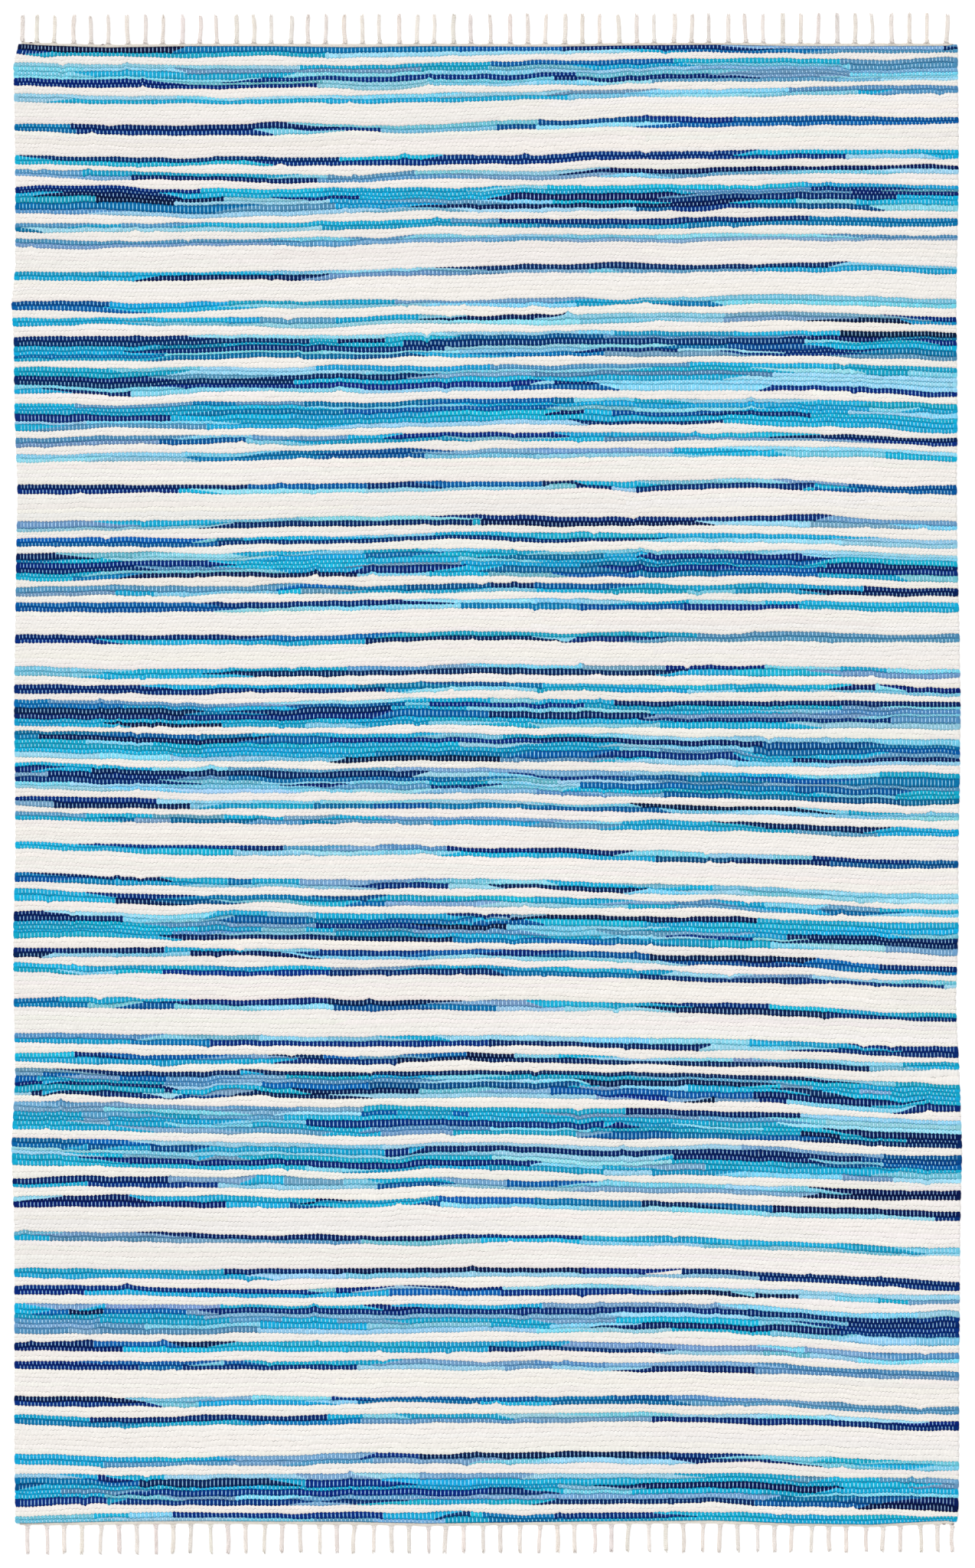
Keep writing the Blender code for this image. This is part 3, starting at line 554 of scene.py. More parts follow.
def yarn_material(name, base, dark):
    """Plied cotton yarn: the twist runs on the map named yarn, round and along."""
    g = Nodes(name)
    place = g.new("ShaderNodeTexCoord").outputs["Object"]
    tint = g.new("ShaderNodeAttribute", attribute_name="tint")
    yarn = g.new("ShaderNodeSeparateXYZ")
    g.join(g.new("ShaderNodeUVMap", uv_map="yarn").outputs["UV"], yarn.inputs[0])
    ply = g.math("SINE", g.math("MULTIPLY", g.math("ADD", yarn.outputs["X"], yarn.outputs["Y"]), 6.2832 * 2))
    fuzz = g.noise(place, 1600.0, 2.0, 0.7)
    soft = g.noise(g.stretched(place, 40.0, 90.0, 40.0), 1.0, 2.0, 0.5)
    low = g.new("ShaderNodeRGB")
    low.outputs[0].default_value = (*srgb(*dark), 1.0)
    high = g.new("ShaderNodeRGB")
    high.outputs[0].default_value = (*srgb(*base), 1.0)
    # painted shade: the grooves between the plies of the twist take the dark colour, the plies the base colour
    twist = g.math("ADD", g.ramp(ply, -1.0, 0.4, 0.35, 1.0), g.ramp(soft, 0.3, 0.7, -0.2, 0.15))
    colour = g.mix(twist, low.outputs[0], high.outputs[0])
    colour = g.mix(1.0, colour, tint.outputs["Color"], "MULTIPLY")
    colour = g.scale_colour(colour, g.ramp(fuzz, 0.2, 0.8, 0.93, 1.06))
    g.join(colour, g.bsdf.inputs["Base Color"])
    g.join(g.ramp(fuzz, 0.2, 0.8, 0.86, 0.97), g.bsdf.inputs["Roughness"])
    g.bsdf.inputs["Specular IOR Level"].default_value = 0.15
    g.bsdf.inputs["Sheen Weight"].default_value = 0.05
    height = g.math("ADD", g.ramp(ply, -1.0, 1.0, 0.0, 1.0), g.math("MULTIPLY", fuzz, 0.3))
    g.join(g.bump(height, 0.0003, 0.8), g.bsdf.inputs["Normal"])
    return g.mat


# ================================================================= woven field
def chart_picks():
    """Every pick from the far end: its rags as text, or None where it is cream, and the zones they make."""
    picks, zones = [], []
    for i, row in enumerate(STRIPES):
        top, bottom, rags = row[0], row[1], row[2:]
        if i:
            above = STRIPES[i - 1][1]
            count = 2 if top - above < 20 else 6
            zones.append((above, top, count))
            picks += [None] * count
        zones.append((top, bottom, len(rags)))
        picks += list(rags)
    return picks, zones


def read_rags(text):
    """Rags of a pick: letter, place where it starts, u or d where it comes in along a taper, and how stout."""
    out = []
    for word in text.split():
        stout = word.count("+") - word.count("-")
        word = word.rstrip("+-")
        side = word[-1] if word[-1] in "ud" else ""
        out.append((word[0], float(word[1:].rstrip("ud")), side, stout))
    return out


def eased(rows, kernel):
    """Rows smoothed along their length with a hanning window of so many places."""
    k = np.hanning(kernel)
    k /= k.sum()
    half = kernel // 2
    padded = np.pad(rows, ((0, 0), (half, half)), mode="edge")
    return np.stack([np.convolve(r, k, mode="valid") for r in padded])


class Rags:
    """What the picks are made of, rib by rib, worked out from the chart.

    far and near are the colours of a pick's far and near half, with how open
    the warp lies over them as the fourth value. seam is where along the
    pick's width the two halves meet, stout how thick the rag is, and swell
    where a join bulges it."""

    def __init__(self, picks, across, rng):
        P, C = len(picks), len(across)
        ribs = RIBS + 2
        self.far = np.zeros((P, ribs, 4))
        self.near = np.zeros((P, ribs, 4))
        self.seam = np.full((P, C), 0.5)
        self.stout = np.ones((P, C))
        self.swell = np.zeros((P, C))
        self.cream = np.array([text is None for text in picks])
        k = np.arange(ribs)
        for n, text in enumerate(picks):
            centre = np.interp(2 * k + 1 - (n % 2), np.arange(C), across)
            if text is None:
                rags, at = [], 20.0
                while at < 1250:
                    rags.append(("W", at, "", 0))
                    at += rng.uniform(260, 900)
            else:
                rags = read_rags(text)
            tones = []
            for letter, _, _, _ in rags:
                r, g, b, open_ = RAGS[letter]
                shift = rng.normal(size=3) * (0.9 if letter == "W" else 3.5)
                spread = {"W": 0.008, "N": 0.18, "B": 0.09, "K": 0.06, "P": 0.04, "Q": 0.04}.get(letter, 0.045)
                light = 1.0 + np.clip(rng.normal(), -2.0, 0.8 if letter in "AT" else 1.4) * spread
                tone = srgb(*[min(255, max(5, c * light + s)) for c, s in zip((r, g, b), shift)])
                spread = 0.02 if letter == "W" else 0.08
                tones.append(tone + [min(1.0, max(0.1, open_ + rng.normal() * spread))])
            for m, (letter, start, side, stout) in enumerate(rags):
                here = centre >= (start if m else -1e9)
                self.far[n, here] = self.near[n, here] = tones[m]
                self.stout[n, across >= (start if m else -1e9)] = math.exp(
                    0.21 * stout + (0.08 if letter == "W" else 0.05) * np.clip(rng.normal(), -1.7, 1.7))
            for m in range(1, len(rags)):
                letter, start, side, _ = rags[m]
                if not side and rng.uniform() < 0.5:
                    # cut square, with its end tucked under in a lump
                    self.swell[n] += rng.uniform(0.3, 0.7) * np.exp(-((across - start - 2) / 3.5) ** 2)
                    continue
                half = 34.0 if side else rng.uniform(7.0, 30.0)
                side = side or "ud"[rng.randint(2)]
                a = max(start - half, rags[m - 1][1] + 3)
                b = start + half
                if m + 1 < len(rags):
                    b = min(b, rags[m + 1][1] - 3)
                if b - a < 6:
                    continue
                zone = (centre > a) & (centre < b)
                self.far[n, zone] = tones[m] if side == "u" else tones[m - 1]
                self.near[n, zone] = tones[m - 1] if side == "u" else tones[m]
                t = np.clip((across - a) / (b - a), 0, 1)
                seam = 0.16 + 0.68 * t if side == "u" else 0.84 - 0.68 * t
                away = np.maximum(0, np.maximum(a - across, across - b))
                self.seam[n] += (seam - 0.5) * np.exp(-(away / 4.0) ** 2)
                self.swell[n] += 0.45 * np.exp(-(away / 5.0) ** 2) * (0.35 if b - a > 40 else 1.0)
        self.seam = np.clip(self.seam, 0.14, 0.86)
        for field in (self.far, self.near):
            field[:, :, :3] *= 1 + np.where(self.cream, 0.010, 0.04)[:, None, None] * rng.normal(size=(P, ribs, 1))
            field[:, :, 3] *= 1 + 0.20 * rng.normal(size=(P, ribs))
            np.clip(field, 0, 1, out=field)
            field[self.cream, :, 3] = np.minimum(field[self.cream, :, 3], 0.30)
        # lumps where a rag was spliced or folded over on itself
        for _ in range(260):
            n = rng.randint(P)
            at = rng.uniform(40, 1230)
            self.swell[n] += rng.uniform(0.4, 1.0) * np.exp(-((across - at) / rng.uniform(3.5, 8.0)) ** 2)
        self.swell = np.clip(self.swell, 0, 1.2)
        self.stout = eased(self.stout, 13)


def beat_lines(zones, rags, across, rng):
    """Where each boundary between picks lies, in units down, at places across."""
    edges = [zones[0][0]] + [z[1] for z in zones]
    base = np.array(edges, float)
    stations = np.array(WANDER_ACROSS, float)
    at_rows = np.repeat(np.array(WANDER, float), 2, axis=0)
    # ease the straight lines between stations into curves
    fine = np.linspace(across.min(), across.max(), 400)
    soft = eased(np.stack([np.interp(fine, stations, r) for r in at_rows]), 29)
    lines = np.stack([np.interp(across, fine, r) for r in soft]) + base[:, None]
    for stripe, at, far, near in LET_OUT:
        bell = np.exp(-((across - at) / 46.0) ** 2)
        lines[2 * stripe] += far * bell
        lines[2 * stripe + 1] += near * bell
    lines += 0.50 * wave(len(base), across, 75.0, rng) + 0.40 * wave(len(base), across, 19.0, rng)
    # here and there a fold of one colour pokes into the other
    for k in range(1, len(base) - 1):
        for _ in range(rng.randint(1, 7)):
            at, reach, wide = rng.uniform(30, 1240), rng.uniform(-3.4, 3.4), rng.uniform(2.2, 5.5)
            lines[k] += reach * np.exp(-((across - at) / wide) ** 2)
    # the outer edges of the field follow its cut ends
    x_mm = (across - MID_ACROSS) * UNIT * 1000
    lines[0] = MID_DOWN - smooth_table(ENDS, 1, x_mm) / 1.237
    lines[-1] = MID_DOWN - smooth_table(ENDS, 3, x_mm) / 1.237
    out, n = [lines[0]], 0
    for k, (_, _, count) in enumerate(zones):
        weights = np.exp(0.06 * wave(count, across, 80.0, rng) + 0.07 * wave(count, across, 22.0, rng))
        weights *= rags.stout[n:n + count]
        n += count
        share = np.cumsum(weights, axis=0) / weights.sum(axis=0)
        for j in range(count):
            out.append(lines[k] + (lines[k + 1] - lines[k]) * share[j])
    out = np.array(out)
    # a swollen pick pushes its neighbours away, and none is squeezed to nothing
    push = 1.5 * rags.swell
    out[1:-1] += push[:-1] - push[1:]
    least = 2.1
    for k in range(1, len(out) - 1):
        out[k] = np.maximum(out[k], out[k - 1] + least)
    for k in range(len(out) - 2, 0, -1):
        out[k] = np.minimum(out[k], out[k + 1] - least)
    return out


def field_grid():
    """The upper surface of the whole field as a grid, two rows to a pick and two columns to a rib."""
    rng = np.random.RandomState(11)
    picks, zones = chart_picks()
    P, C = len(picks), 2 * RIBS + 1
    # ribs are packed a little closer near the selvedges
    t = (np.arange(C - 1) + 0.5) / (C - 1)
    pitch = 1.0 - 0.13 * np.exp(-np.minimum(t, 1 - t) / 0.05)
    share = np.concatenate([[0.0], np.cumsum(pitch)])
    share /= share[-1]
    across = 19.5 + 1233.0 * share                    # chart places of the columns
    rags = Rags(picks, across, rng)
    lines = beat_lines(zones, rags, across, rng)      # (P + 1, C)

    R = 2 * P + 1
    mm = (MID_DOWN - lines) * UNIT
    thick = mm[:-1] - mm[1:]
    Y = np.zeros((R, C))
    Y[0::2] = mm
    Y[1::2] = mm[:-1] - rags.seam * thick
    c = np.arange(C)
    fade = np.clip(np.minimum(c, C - 1 - c) / 3.0, 0, 1)
    # each rib bulges into the gap between two ribs of the next pick
    zig = np.where((c[None] + np.arange(P + 1)[:, None]) % 2 == 1, 1.0, -1.0) * BULGE * fade
    zig = zig * (1 + 0.25 * rng.normal(size=zig.shape))
    room = np.minimum(np.concatenate([thick[:1], thick]), np.concatenate([thick, thick[-1:]]))
    zig = np.clip(zig, -0.28 * room, 0.28 * room)
    farther = np.concatenate([thick[:1], (1 - rags.seam) * thick])
    nearer = np.concatenate([rags.seam * thick, thick[-1:]])
    zig = np.clip(zig, -0.62 * nearer, 0.62 * farther)
    zig[0] *= 0.4
    zig[-1] *= 0.4
    Y[0::2] += zig

    both_cream = np.zeros(P + 1, bool)
    both_cream[1:-1] = rags.cream[:-1] & rags.cream[1:]
    Z = np.zeros((R, C))
    Z[0::2] = np.where(both_cream, VALLEY_CREAM, VALLEY)[:, None] + 0.00015 * rng.normal(size=(P + 1, C))
    crossing = (c[None] + np.arange(P)[:, None]) % 2 == 0
    crest = CREST + 0.00022 * wave(P, across, 25.0, rng) + 0.00012 * rng.normal(size=(P, C))
    crest += np.clip((thick / UNIT - 5.6) * 0.00010, -0.0006, 0.0006) + 0.0007 * rags.swell
    crest -= crossing * np.where(rags.cream, DIP_CREAM, DIP)[:, None] * fade
    Z[1::2] = crest
    Y[1::2] += 0.00012 * rng.normal(size=(P, C)) * (np.abs(rags.seam - 0.5) < 0.2)

    left = smooth_table(SELVEDGE, 1, Y[:, 0] * 1000) / 1000
    right = smooth_table(SELVEDGE, 2, Y[:, -1] * 1000) / 1000
    # the warp runs straight, and only the ribs by a selvedge lean with its edge
    X = np.repeat((LEFT_EDGE + 0.0012 + (RIGHT_EDGE - LEFT_EDGE - 0.0024) * share)[None], R, axis=0)
    X += (left - LEFT_EDGE)[:, None] * np.exp(-share / 0.022)[None]
    X += (right - RIGHT_EDGE)[:, None] * np.exp(-(1 - share) / 0.022)[None]
    X += 0.00022 * wave(1, np.arange(R), 9.0, rng)[0][:, None] * fade
    X += 0.00010 * rng.normal(size=X.shape) * fade

    # selvedges: a rag turns back from each pick into the next, so the crease
    # inside a turn is hardly drawn in and the one between two turns is
    out = np.zeros((2, R))
    r = np.arange(R)
    out[:] = np.where(r % 2 == 1, 0.0005, np.where((r // 2) % 2 == 1, 0.0004, -0.0007))
    out += 0.00018 * rng.normal(size=out.shape)
    drop = np.full(R, 0.0027)
    XX = np.concatenate([(left - out[0])[:, None], X, (right + out[1])[:, None]], 1)
    YY = np.concatenate([Y[:, :1], Y, Y[:, -1:]], 1)
    ZZ = np.concatenate([drop[:, None], Z, drop[:, None]], 1)
    ZZ[:, 1] = 0.5 * (ZZ[:, 1] + 0.0052)
    ZZ[:, -2] = 0.5 * (ZZ[:, -2] + 0.0052)
    return rags, XX, YY, ZZ, P, C


def band_mesh(name, rags, grid, C, p0, p1, first, last):
    """One band of picks as a closed skin: ribbed on top, plain below, with its four walls."""
    XX, YY, ZZ = grid
    J = C + 2
    r0, r1 = 2 * p0, 2 * p1
    H = r1 - r0 + 1
    x, y, z = (a[r0:r1 + 1].copy() for a in (XX, YY, ZZ))
    if not first:
        y[0] -= BAND_GAP
    if not last:
        y[-1] += BAND_GAP
    coarse = np.concatenate([[0], 1 + np.arange(4, C - 1, 4), [J - 1]])   # columns of the underside
    B = len(coarse)
    bx, by = x[0::2][:, coarse].copy(), y[0::2][:, coarse].copy()
    bx[:, 0] += 0.0010
    bx[:, -1] -= 0.0010
    verts = np.concatenate([np.stack([x, y, z], -1).reshape(-1, 3),
                            np.stack([bx, by, np.full(bx.shape, UNDER)], -1).reshape(-1, 3)])

    def above(row, column):
        return row * J + column

    def below(pick, column):
        return H * J + pick * B + column

    # upper surface
    rr, jj = (a.ravel() for a in np.meshgrid(np.arange(H - 1), np.arange(J - 1), indexing="ij"))
    quads = np.stack([above(rr, jj), above(rr + 1, jj), above(rr + 1, jj + 1), above(rr, jj + 1)], -1)
    pick = p0 + rr // 2
    column = jj - 1
    u0, u1 = (column + pick % 2) / 2.0, (column + 1 + pick % 2) / 2.0
    v0 = p0 + rr / 2.0
    weave_top = np.stack([np.stack(p, -1) for p in ((u0, v0), (u0, v0 + 0.5), (u1, v0 + 0.5), (u1, v0))], 1)
    rib = np.clip(np.floor(u0 + 1e-6).astype(int), 0, RIBS)
    shade_top = np.where((rr % 2 == 0)[:, None], rags.far[pick, rib], rags.near[pick, rib])
    # the outermost ribs hide the warp under the turning rag
    shade_top[(column < 2) | (column > C - 4), 3] = 0.0

    # underside
    pp, ii = (a.ravel() for a in np.meshgrid(np.arange(p1 - p0), np.arange(B - 1), indexing="ij"))
    under = np.stack([below(pp, ii), below(pp, ii + 1), below(pp + 1, ii + 1), below(pp + 1, ii)], -1)
    pick_b = p0 + pp
    ua, ub = (coarse[ii] - 1 + pick_b % 2) / 2.0, (coarse[ii + 1] - 1 + pick_b % 2) / 2.0
    va, vb = pick_b.astype(float), pick_b + 1.0
    weave_under = np.stack([np.stack(p, -1) for p in ((ua, va), (ub, va), (ub, vb), (ua, vb))], 1)
    rib_b = np.clip(np.floor((ua + ub) / 2).astype(int), 0, RIBS)
    shade_under = rags.far[pick_b, rib_b]

    # walls: the selvedges show, the ends meet the next band
    wall_loops, wall_totals, wall_uv, wall_shade, wall_kind = [], [], [], [], []

    def wall(poly, uv, shade, kind):
        wall_loops.extend(poly)
        wall_totals.append(len(poly))
        wall_uv.extend(uv)
        shade = shade.copy()
        shade[3] = 0.0
        wall_shade.extend([shade] * len(poly))
        wall_kind.extend([kind] * len(poly))

    for p in range(p1 - p0):
        r, n, e = 2 * p, p0 + p, B - 1
        wall([above(r + 2, 0), above(r + 1, 0), above(r, 0), below(p, 0), below(p + 1, 0)],
             [(0.5, v) for v in (n + 1, n + 0.5, n, n, n + 1)], rags.far[n, 0], 0)
        wall([above(r, J - 1), above(r + 1, J - 1), above(r + 2, J - 1), below(p + 1, e), below(p, e)],
             [(0.5, v) for v in (n, n + 0.5, n + 1, n + 1, n)], rags.far[n, RIBS], 1)
    for i in range(B - 1):
        j0, j1 = coarse[i], coarse[i + 1]
        rib_w = min(RIBS, max(0, int((j0 - 1) / 2)))
        # every edge of the rim has a triangle of its own, so no wall rises above the crease
        mid = (j0 + j1) // 2
        for j in range(j0, j1):
            foot = i if j < mid else i + 1
            wall([above(0, j), above(0, j + 1), below(0, foot)],
                 [((q - 1 + p0 % 2) / 2.0, p0 + 0.02) for q in (j, j + 1, coarse[foot])], rags.far[p0, rib_w], 2)
            wall([above(H - 1, j + 1), above(H - 1, j), below(p1 - p0, foot)],
                 [((q - 1 + (p1 - 1) % 2) / 2.0, p1 - 0.02) for q in (j + 1, j, coarse[foot])],
                 rags.near[p1 - 1, rib_w], 3)
        wall([above(0, mid), below(0, i + 1), below(0, i)],
             [((q - 1 + p0 % 2) / 2.0, p0 + 0.02) for q in (mid, j1, j0)], rags.far[p0, rib_w], 2)
        wall([above(H - 1, mid), below(p1 - p0, i), below(p1 - p0, i + 1)],
             [((q - 1 + (p1 - 1) % 2) / 2.0, p1 - 0.02) for q in (mid, j0, j1)], rags.near[p1 - 1, rib_w], 3)

    loops = np.concatenate([quads.ravel(), under.ravel(), np.array(wall_loops)])
    totals = np.concatenate([np.full(len(quads) + len(under), 4), np.array(wall_totals)])
    starts = np.concatenate([[0], np.cumsum(totals)[:-1]])
    weave = np.concatenate([weave_top.reshape(-1, 2), weave_under.reshape(-1, 2), np.array(wall_uv)])
    shade = np.concatenate([np.repeat(shade_top, 4, axis=0), np.repeat(shade_under, 4, axis=0), np.array(wall_shade)])

    # flat map: the top in three lengths one above another, then the underside
    # at half size in two, then the four walls
    co = verts[loops]
    n_top, n_under = 4 * len(quads), 4 * len(under)
    y_lo, high = co[:, 1].min(), co[:, 1].max() - co[:, 1].min()
    uv = np.zeros((len(loops), 2))
    lengths, margin = 3, 0.004
    length = np.repeat(np.minimum(np.clip(column, 0, C - 2) * lengths // (C - 1), lengths - 1), 4)
    cut = np.array([x[:, 0].min()] + [x[:, 1 + (C - 1) * s // lengths].min() for s in range(1, lengths)])
    span = max(x[:, min(J - 1, 2 + (C - 1) * (s + 1) // lengths)].max() - cut[s] for s in range(lengths)) + 0.002
    top = slice(0, n_top)
    uv[top, 0] = (co[top, 0] - cut[length]) / span
    uv[top, 1] = co[top, 1] - y_lo + length * (high + margin)
    base = lengths * (high + margin)
    low = slice(n_top, n_top + n_under)
    half = (np.repeat(ii, 4) >= (B - 1) // 2).astype(int)
    halfway = bx[:, (B - 1) // 2].min()
    uv[low, 0] = (co[low, 0] - np.where(half == 1, halfway, bx[:, 0].min())) / 0.80
    uv[low, 1] = base + (co[low, 1] - y_lo) * 0.5 + half * (high * 0.5 + margin)
    base += high + 2 * margin
    kind = np.array(wall_kind)
    side = slice(n_top + n_under, None)
    uv[side, 0] = np.where(kind < 2, (co[side, 1] - y_lo) / high * 0.9, (co[side, 0] + 0.78) / 1.56)
    uv[side, 1] = base + kind * (0.010 + margin) + co[side, 2]
    uv[:, 1] /= base + 4 * (0.010 + margin)
    uv = 0.004 + 0.992 * uv

    me = mesh_from_arrays(name, verts, loops, starts, totals)
    set_uv(me, "weave", weave)
    set_uv(me, "OFBake", uv)
    set_colour(me, "rag", shade)
    # creases between picks and the rims of the walls are sharp
    edges = np.zeros(len(me.edges) * 2, dtype=np.int32)
    me.edges.foreach_get("vertices", edges)
    edges = edges.reshape(-1, 2)
    row = edges // J
    on_top = edges < H * J
    sharp = on_top.all(1) & (row[:, 0] == row[:, 1]) & (row[:, 0] % 2 == 0)
    sharp |= on_top.sum(1) == 1
    me.attributes.new("sharp_edge", "BOOLEAN", "EDGE").data.foreach_set("value", sharp)
    flat = (float(x[:, -1].mean() - x[:, 0].mean()), float(high))
    return me, flat


def build_field(material):
    rags, XX, YY, ZZ, P, C = field_grid()
    cuts = np.linspace(0, P, BANDS + 1).round().astype(int)
    made = []
    for b in range(BANDS):
        name = "weft_band_%02d" % (b + 1)
        me, flat = band_mesh(name, rags, (XX, YY, ZZ), C, cuts[b], cuts[b + 1], b == 0, b == BANDS - 1)
        made.append((add_piece(name, me, material, ["rug_body"]), flat))
    return made


# ==================================================================== headings
def build_heading(end, material):
    """A narrow strip of fine weave between the last rag and the fringe."""
    rng = np.random.RandomState(5 if end == "top" else 6)
    sign = 1 if end == "top" else -1
    inner, outer = (1, 2) if end == "top" else (3, 4)
    cols, rows = 936, 7
    xs = np.linspace(*HEADING_SPAN[end], cols)
    a = smooth_table(ENDS, inner, xs * 1000) / 1000 + sign * 0.0002
    b = smooth_table(ENDS, outer, xs * 1000) / 1000 + sign * 0.0003 * wave(1, xs, 0.012, rng)[0]
    verts = []
    for r in range(rows):
        crest = r % 2 == 1
        z = np.full(cols, 0.0029 if crest else 0.0017)
        if crest:
            z = z - 0.0008 * ((np.arange(cols) + r // 2) % 2 == 0)
        if r in (0, rows - 1):
            z = np.full(cols, 0.0014)
        y = a + (b - a) * r / (rows - 1) + 0.0001 * rng.normal(size=cols)
        verts.append(np.stack([xs, y, z + 0.0001 * rng.normal(size=cols)], -1))
    for y in (a, b):
        verts.append(np.stack([xs, y, np.full(cols, UNDER)], -1))
    verts = np.concatenate(verts)
    polys, uvs = [], []

    def at(r, j):
        return r * cols + j

    def face(*corners):
        """A face from its corners: row, column and place along the strip's width."""
        corners = corners[::-1] if sign < 0 else corners
        polys.append([at(r, j) for r, j, _ in corners])
        uvs.extend((j / 2, v) for _, j, v in corners)

    low_in, low_out = rows, rows + 1
    for j in range(cols - 1):
        for r in range(rows - 1):
            face((r, j, r / 2), (r, j + 1, r / 2), (r + 1, j + 1, (r + 1) / 2), (r + 1, j, (r + 1) / 2))
        face((low_out, j, 3), (low_out, j + 1, 3), (low_in, j + 1, 0), (low_in, j, 0))
        face((low_in, j, 0), (low_in, j + 1, 0), (0, j + 1, 0.1), (0, j, 0.1))
        face((rows - 1, j, 3), (rows - 1, j + 1, 3), (low_out, j + 1, 3.1), (low_out, j, 3.1))
    face(*[(r, 0, r / 2) for r in range(rows)], (low_out, 0, 3), (low_in, 0, 0))
    face(*[(r, cols - 1, r / 2) for r in reversed(range(rows))], (low_in, cols - 1, 0), (low_out, cols - 1, 3))
    totals = np.array([len(p) for p in polys])
    loops = np.concatenate([np.array(p) for p in polys])
    starts = np.concatenate([[0], np.cumsum(totals)[:-1]])
    name = "heading_strip_" + end
    me = mesh_from_arrays(name, verts, loops, starts, totals)
    set_uv(me, "yarn", np.array(uvs))
    shade = np.clip(1 + 0.03 * rng.normal(size=(len(polys), 1)), 0.8, 1.1)
    tint = np.concatenate([shade.repeat(3, 1), np.ones((len(polys), 1))], 1)
    set_colour(me, "tint", np.repeat(tint, totals, axis=0))
    return add_piece(name, me, material, ["heading_" + end])


# ===================================================================== fringe
class Yarns:
    """Tubes of yarn collected into one mesh."""

    def __init__(self):
        self.verts, self.loops, self.totals, self.uv, self.tint = [], [], [], [], []
        self.count = 0

    def tube(self, path, radius, sides, turns_per_m, tint, closed=False):
        path = np.asarray(path, float)
        m = len(path)
        radius = np.broadcast_to(np.asarray(radius, float), (m,))
        if closed:
            tangent = np.roll(path, -1, 0) - np.roll(path, 1, 0)
        else:
            tangent = np.gradient(path, axis=0)
        tangent /= np.linalg.norm(tangent, axis=1)[:, None]
        side = np.cross(tangent, np.array([0.0, 0.0, 1.0]))
        side /= np.maximum(np.linalg.norm(side, axis=1), 1e-9)[:, None]
        normal = np.cross(side, tangent)
        ang = np.arange(sides) * 2 * math.pi / sides
        ring = path[:, None] + radius[:, None, None] * (np.cos(ang)[None, :, None] * side[:, None]
                                                        + np.sin(ang)[None, :, None] * normal[:, None])
        ring[..., 2] = np.maximum(ring[..., 2], UNDER)
        base = self.count
        self.verts.append(ring.reshape(-1, 3))
        self.count += m * sides
        run = turns_per_m * np.concatenate([[0], np.cumsum(np.linalg.norm(np.diff(path, axis=0), axis=1))])
        for i in range(m if closed else m - 1):
            k = (i + 1) % m
            s0, s1 = run[i], (run[k] if k else run[i] + (run[1] - run[0]))
            for j in range(sides):
                q = (j + 1) % sides
                self.loops += [base + i * sides + j, base + i * sides + q, base + k * sides + q, base + k * sides + j]
                self.totals.append(4)
                a0, a1 = j / sides, (j + 1) / sides
                self.uv += [(a0, s0), (a1, s0), (a1, s1), (a0, s1)]
                self.tint += [tint] * 4
        if not closed:
            for ring_no, turn in ((0, -1), (m - 1, 1)):
                self.loops += [base + ring_no * sides + j for j in range(sides)][::turn]
                self.totals.append(sides)
                self.uv += [(0.5, run[ring_no])] * sides
                self.tint += [tint] * sides

    def mesh(self, name):
        totals = np.array(self.totals)
        starts = np.concatenate([[0], np.cumsum(totals)[:-1]])
        me = mesh_from_arrays(name, np.concatenate(self.verts), np.array(self.loops), starts, totals)
        set_uv(me, "yarn", np.array(self.uv))
        set_colour(me, "tint", np.array(self.tint))
        return me


def tassel_places(end):
    runs = [r for r in TASSEL_RUNS if r[0] == end]
    out = []
    for i in range(TASSELS):
        run = [r for r in runs if r[1] <= i][-1]
        group, member = divmod(i - run[1], 3)
        step = (0.0, run[4], run[5])[member]
        out.append((run[2] + run[3] * group + step, CORD_WIDTHS[(i + (0 if end == "top" else 1)) % 3]))
    return out


def tassel_lean(i, end):
    turn = 0.9 if end == "top" else 1.3
    return 2.2 * (0.6 * math.sin(turn * i) + 0.4 * math.sin(2.6 * i + 1.0))


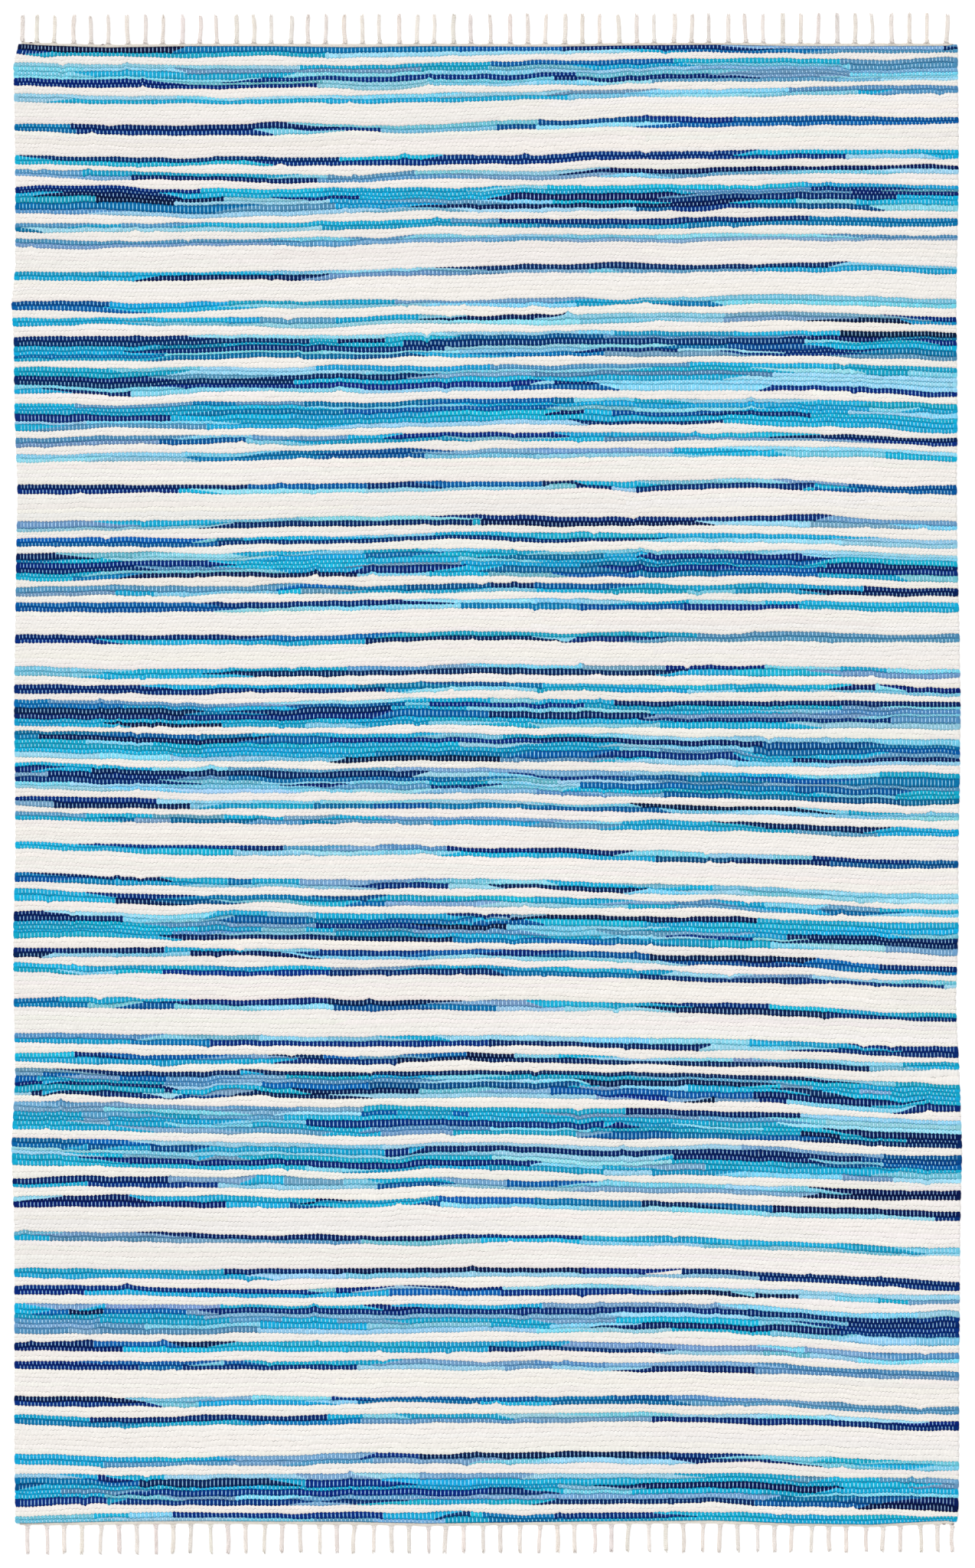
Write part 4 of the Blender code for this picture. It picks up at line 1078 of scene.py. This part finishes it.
def build_fringe(end, material):
    rng = np.random.RandomState(21 if end == "top" else 22)
    sign = 1 if end == "top" else -1
    column = 2 if end == "top" else 4
    yarns = Yarns()
    places = tassel_places(end)
    for i, (x_mm, width_mm) in enumerate(places):
        x, width = x_mm / 1000, width_mm / 1000
        share = (x_mm - places[0][0]) / (places[-1][0] - places[0][0])
        tip = (TIPS[end][0] + (TIPS[end][1] - TIPS[end][0]) * share) / 1000
        lean = tassel_lean(i, end) / 1000
        edge = float(smooth_table(ENDS, column, x_mm)) / 1000
        knot_y = edge + sign * 0.0044
        base_tint = np.array([1.0, 1.0, 1.0]) + rng.normal(size=3) * 0.012 + rng.normal() * 0.02
        # warp ends gathered from along the heading into the knot
        for k in range(-3, 4):
            sx = min(max(x + k * WARP_PITCH * 0.55, HEADING_SPAN[end][0] + 0.001), HEADING_SPAN[end][1] - 0.001)
            sy = float(smooth_table(ENDS, column, sx * 1000)) / 1000 - sign * 0.0004
            path = [(sx, sy, 0.0012),
                    (sx - 0.12 * (sx - x), sy + sign * 0.0009, 0.0016),
                    (sx - 0.50 * (sx - x), sy + sign * 0.0018, 0.0022),
                    (x + k * 0.0005, knot_y, 0.0028)]
            yarns.tube(path, 0.00062, 5, 300.0, (*np.clip(base_tint * 0.97, 0, 1.1), 1.0))
        # overhand knot
        s = np.linspace(0, 2 * math.pi, 30, endpoint=False)
        kx = (np.sin(s) + 2 * np.sin(2 * s)) / 3 * 0.0029 * (width / 0.0070)
        ky = (np.cos(s) - 2 * np.cos(2 * s)) / 3 * 0.0026
        kz = -np.sin(3 * s) * 0.0010 + 0.0031
        turn = rng.uniform(-0.5, 0.5)
        rx = kx * math.cos(turn) - ky * math.sin(turn)
        ry = kx * math.sin(turn) + ky * math.cos(turn)
        knot = np.stack([x + rx, knot_y + ry, kz], -1)
        yarns.tube(knot, 0.00155, 6, 260.0, (*np.clip(base_tint * 0.98, 0, 1.1), 1.0), closed=True)
        # the cut ends hang on as one loose cord
        count = 6
        twist = rng.uniform(0.7, 1.3) * (1 if i % 2 else -1) * 2 * math.pi
        phase = rng.uniform(0, 2 * math.pi)
        yarn_r = width * 0.20
        bundle = width / 2 - yarn_r
        bow = rng.normal() * 0.0007
        for k in range(count):
            end_y = tip + sign * rng.uniform(-0.0040, 0.0008)
            m = 11
            t = np.linspace(0, 1, m)
            ang = phase + 2 * math.pi * k / count + twist * t
            spread = bundle * (0.85 + 0.10 * np.sin(math.pi * t) + 0.22 * t ** 4)
            cx = x + lean * t + bow * np.sin(math.pi * t)
            cy = (knot_y + sign * 0.001) + (end_y - knot_y - sign * 0.001) * t
            px = cx + spread * np.cos(ang)
            pz = 0.0026 + 0.62 * spread * np.sin(ang) - 0.0003 * t
            r = yarn_r * (1 + 0.06 * rng.normal(size=m))
            r[-2:] *= (0.92, 0.55)
            tint = np.clip(base_tint * (1 + 0.03 * rng.normal()), 0, 1.12)
            yarns.tube(np.stack([px, cy, pz], -1), r, 6, 170.0, (*tint, 1.0))
    # tails of dark sewing thread that show at the corners of the heading
    for place_end, x_mm, long in THREAD_TAILS:
        if place_end != end:
            continue
        x = x_mm / 1000
        y = float(smooth_table(ENDS, column, x_mm)) / 1000 - sign * 0.0006
        t = np.linspace(0, 1, 8)
        for shift, bend, thick, tint in ((0.0, 3.0, 0.00062, (0.13, 0.11, 0.13, 1.0)),
                                         (0.7, 4.6, 0.00046, (0.16, 0.11, 0.12, 1.0)),
                                         (-1.6, 2.2, 0.00034, (0.62, 0.36, 0.36, 1.0))):
            run = x + (long * t + shift) / 1000
            path = np.stack([run, y + sign * (0.0006 * np.sin(bend * t) + 0.0003 * shift),
                             0.0031 + 0.0005 * np.sin(5 * t + shift)], -1)
            yarns.tube(path, thick * (1 - 0.45 * t ** 3), 5, 300.0, tint)
    me = yarns.mesh("tassels_" + end)
    return add_piece("tassels_" + end, me, material, ["fringe_" + end])


# ==================================================================== assembly
bands = build_field(rag_material())
heading_yarn = yarn_material("heading_yarn", (250, 244, 234), (226, 218, 206))
fringe_yarn = yarn_material("fringe_yarn", (245, 238, 231), (216, 206, 198))
for end in ("top", "bottom"):
    build_heading(end, heading_yarn)
    build_fringe(end, fringe_yarn)

# -------------------------------------------------------------- floor and light
floor_mesh = bpy.data.meshes.new("floor")
floor_mesh.from_pydata([(-9, -9, -0.0002), (9, -9, -0.0002), (9, 9, -0.0002), (-9, 9, -0.0002)], [], [(0, 1, 2, 3)])
floor = bpy.data.objects.new("floor", floor_mesh)
bpy.context.scene.collection.objects.link(floor)
floor_mat = bpy.data.materials.new("floor")
floor_mat.use_nodes = True
fb = floor_mat.node_tree.nodes["Principled BSDF"]
fb.inputs["Base Color"].default_value = (0.9, 0.9, 0.9, 1.0)
fb.inputs["Emission Color"].default_value = (1.0, 1.0, 1.0, 1.0)
fb.inputs["Emission Strength"].default_value = 0.22
fb.inputs["Roughness"].default_value = 1.0
fb.inputs["Specular IOR Level"].default_value = 0.0
floor_mesh.materials.append(floor_mat)

world = bpy.data.worlds.new("studio")
bpy.context.scene.world = world
world.use_nodes = True
world.node_tree.nodes["Background"].inputs["Color"].default_value = (1.0, 1.0, 1.0, 1.0)
world.node_tree.nodes["Background"].inputs["Strength"].default_value = 0.58


def sun(name, place, strength, angle):
    """A broad soft light that is as strong at one end of the rug as at the other."""
    data = bpy.data.lights.new(name, "SUN")
    data.energy = strength
    data.angle = angle
    ob = bpy.data.objects.new(name, data)
    ob.location = place
    ob.rotation_euler = (-Vector(place)).to_track_quat("-Z", "Y").to_euler()
    bpy.context.scene.collection.objects.link(ob)


sun("key", (-1.7, 2.2, 4.2), 1.46, 0.45)
sun("fill", (2.4, -1.6, 4.0), 0.43, 0.70)

# ---------------------------------------------------------------------- camera
FRAME_W, FRAME_H = 1274.0, 2048.0
cam_data = bpy.data.cameras.new("camera")
cam_data.lens = 135.0
cam_data.sensor_fit = "AUTO"
cam_data.sensor_width = 36.0
camera = bpy.data.objects.new("camera", cam_data)
distance = FRAME_H * UNIT / 2 / (18.0 / 135.0)
camera.location = ((FRAME_W / 2 - MID_ACROSS) * UNIT, (MID_DOWN - FRAME_H / 2) * UNIT, distance + 0.005)
camera.rotation_euler = (0.0, 0.0, 0.0)
bpy.context.scene.collection.objects.link(camera)
bpy.context.scene.camera = camera
bpy.context.scene.view_settings.view_transform = "Standard"
bpy.context.scene.view_settings.look = "None"
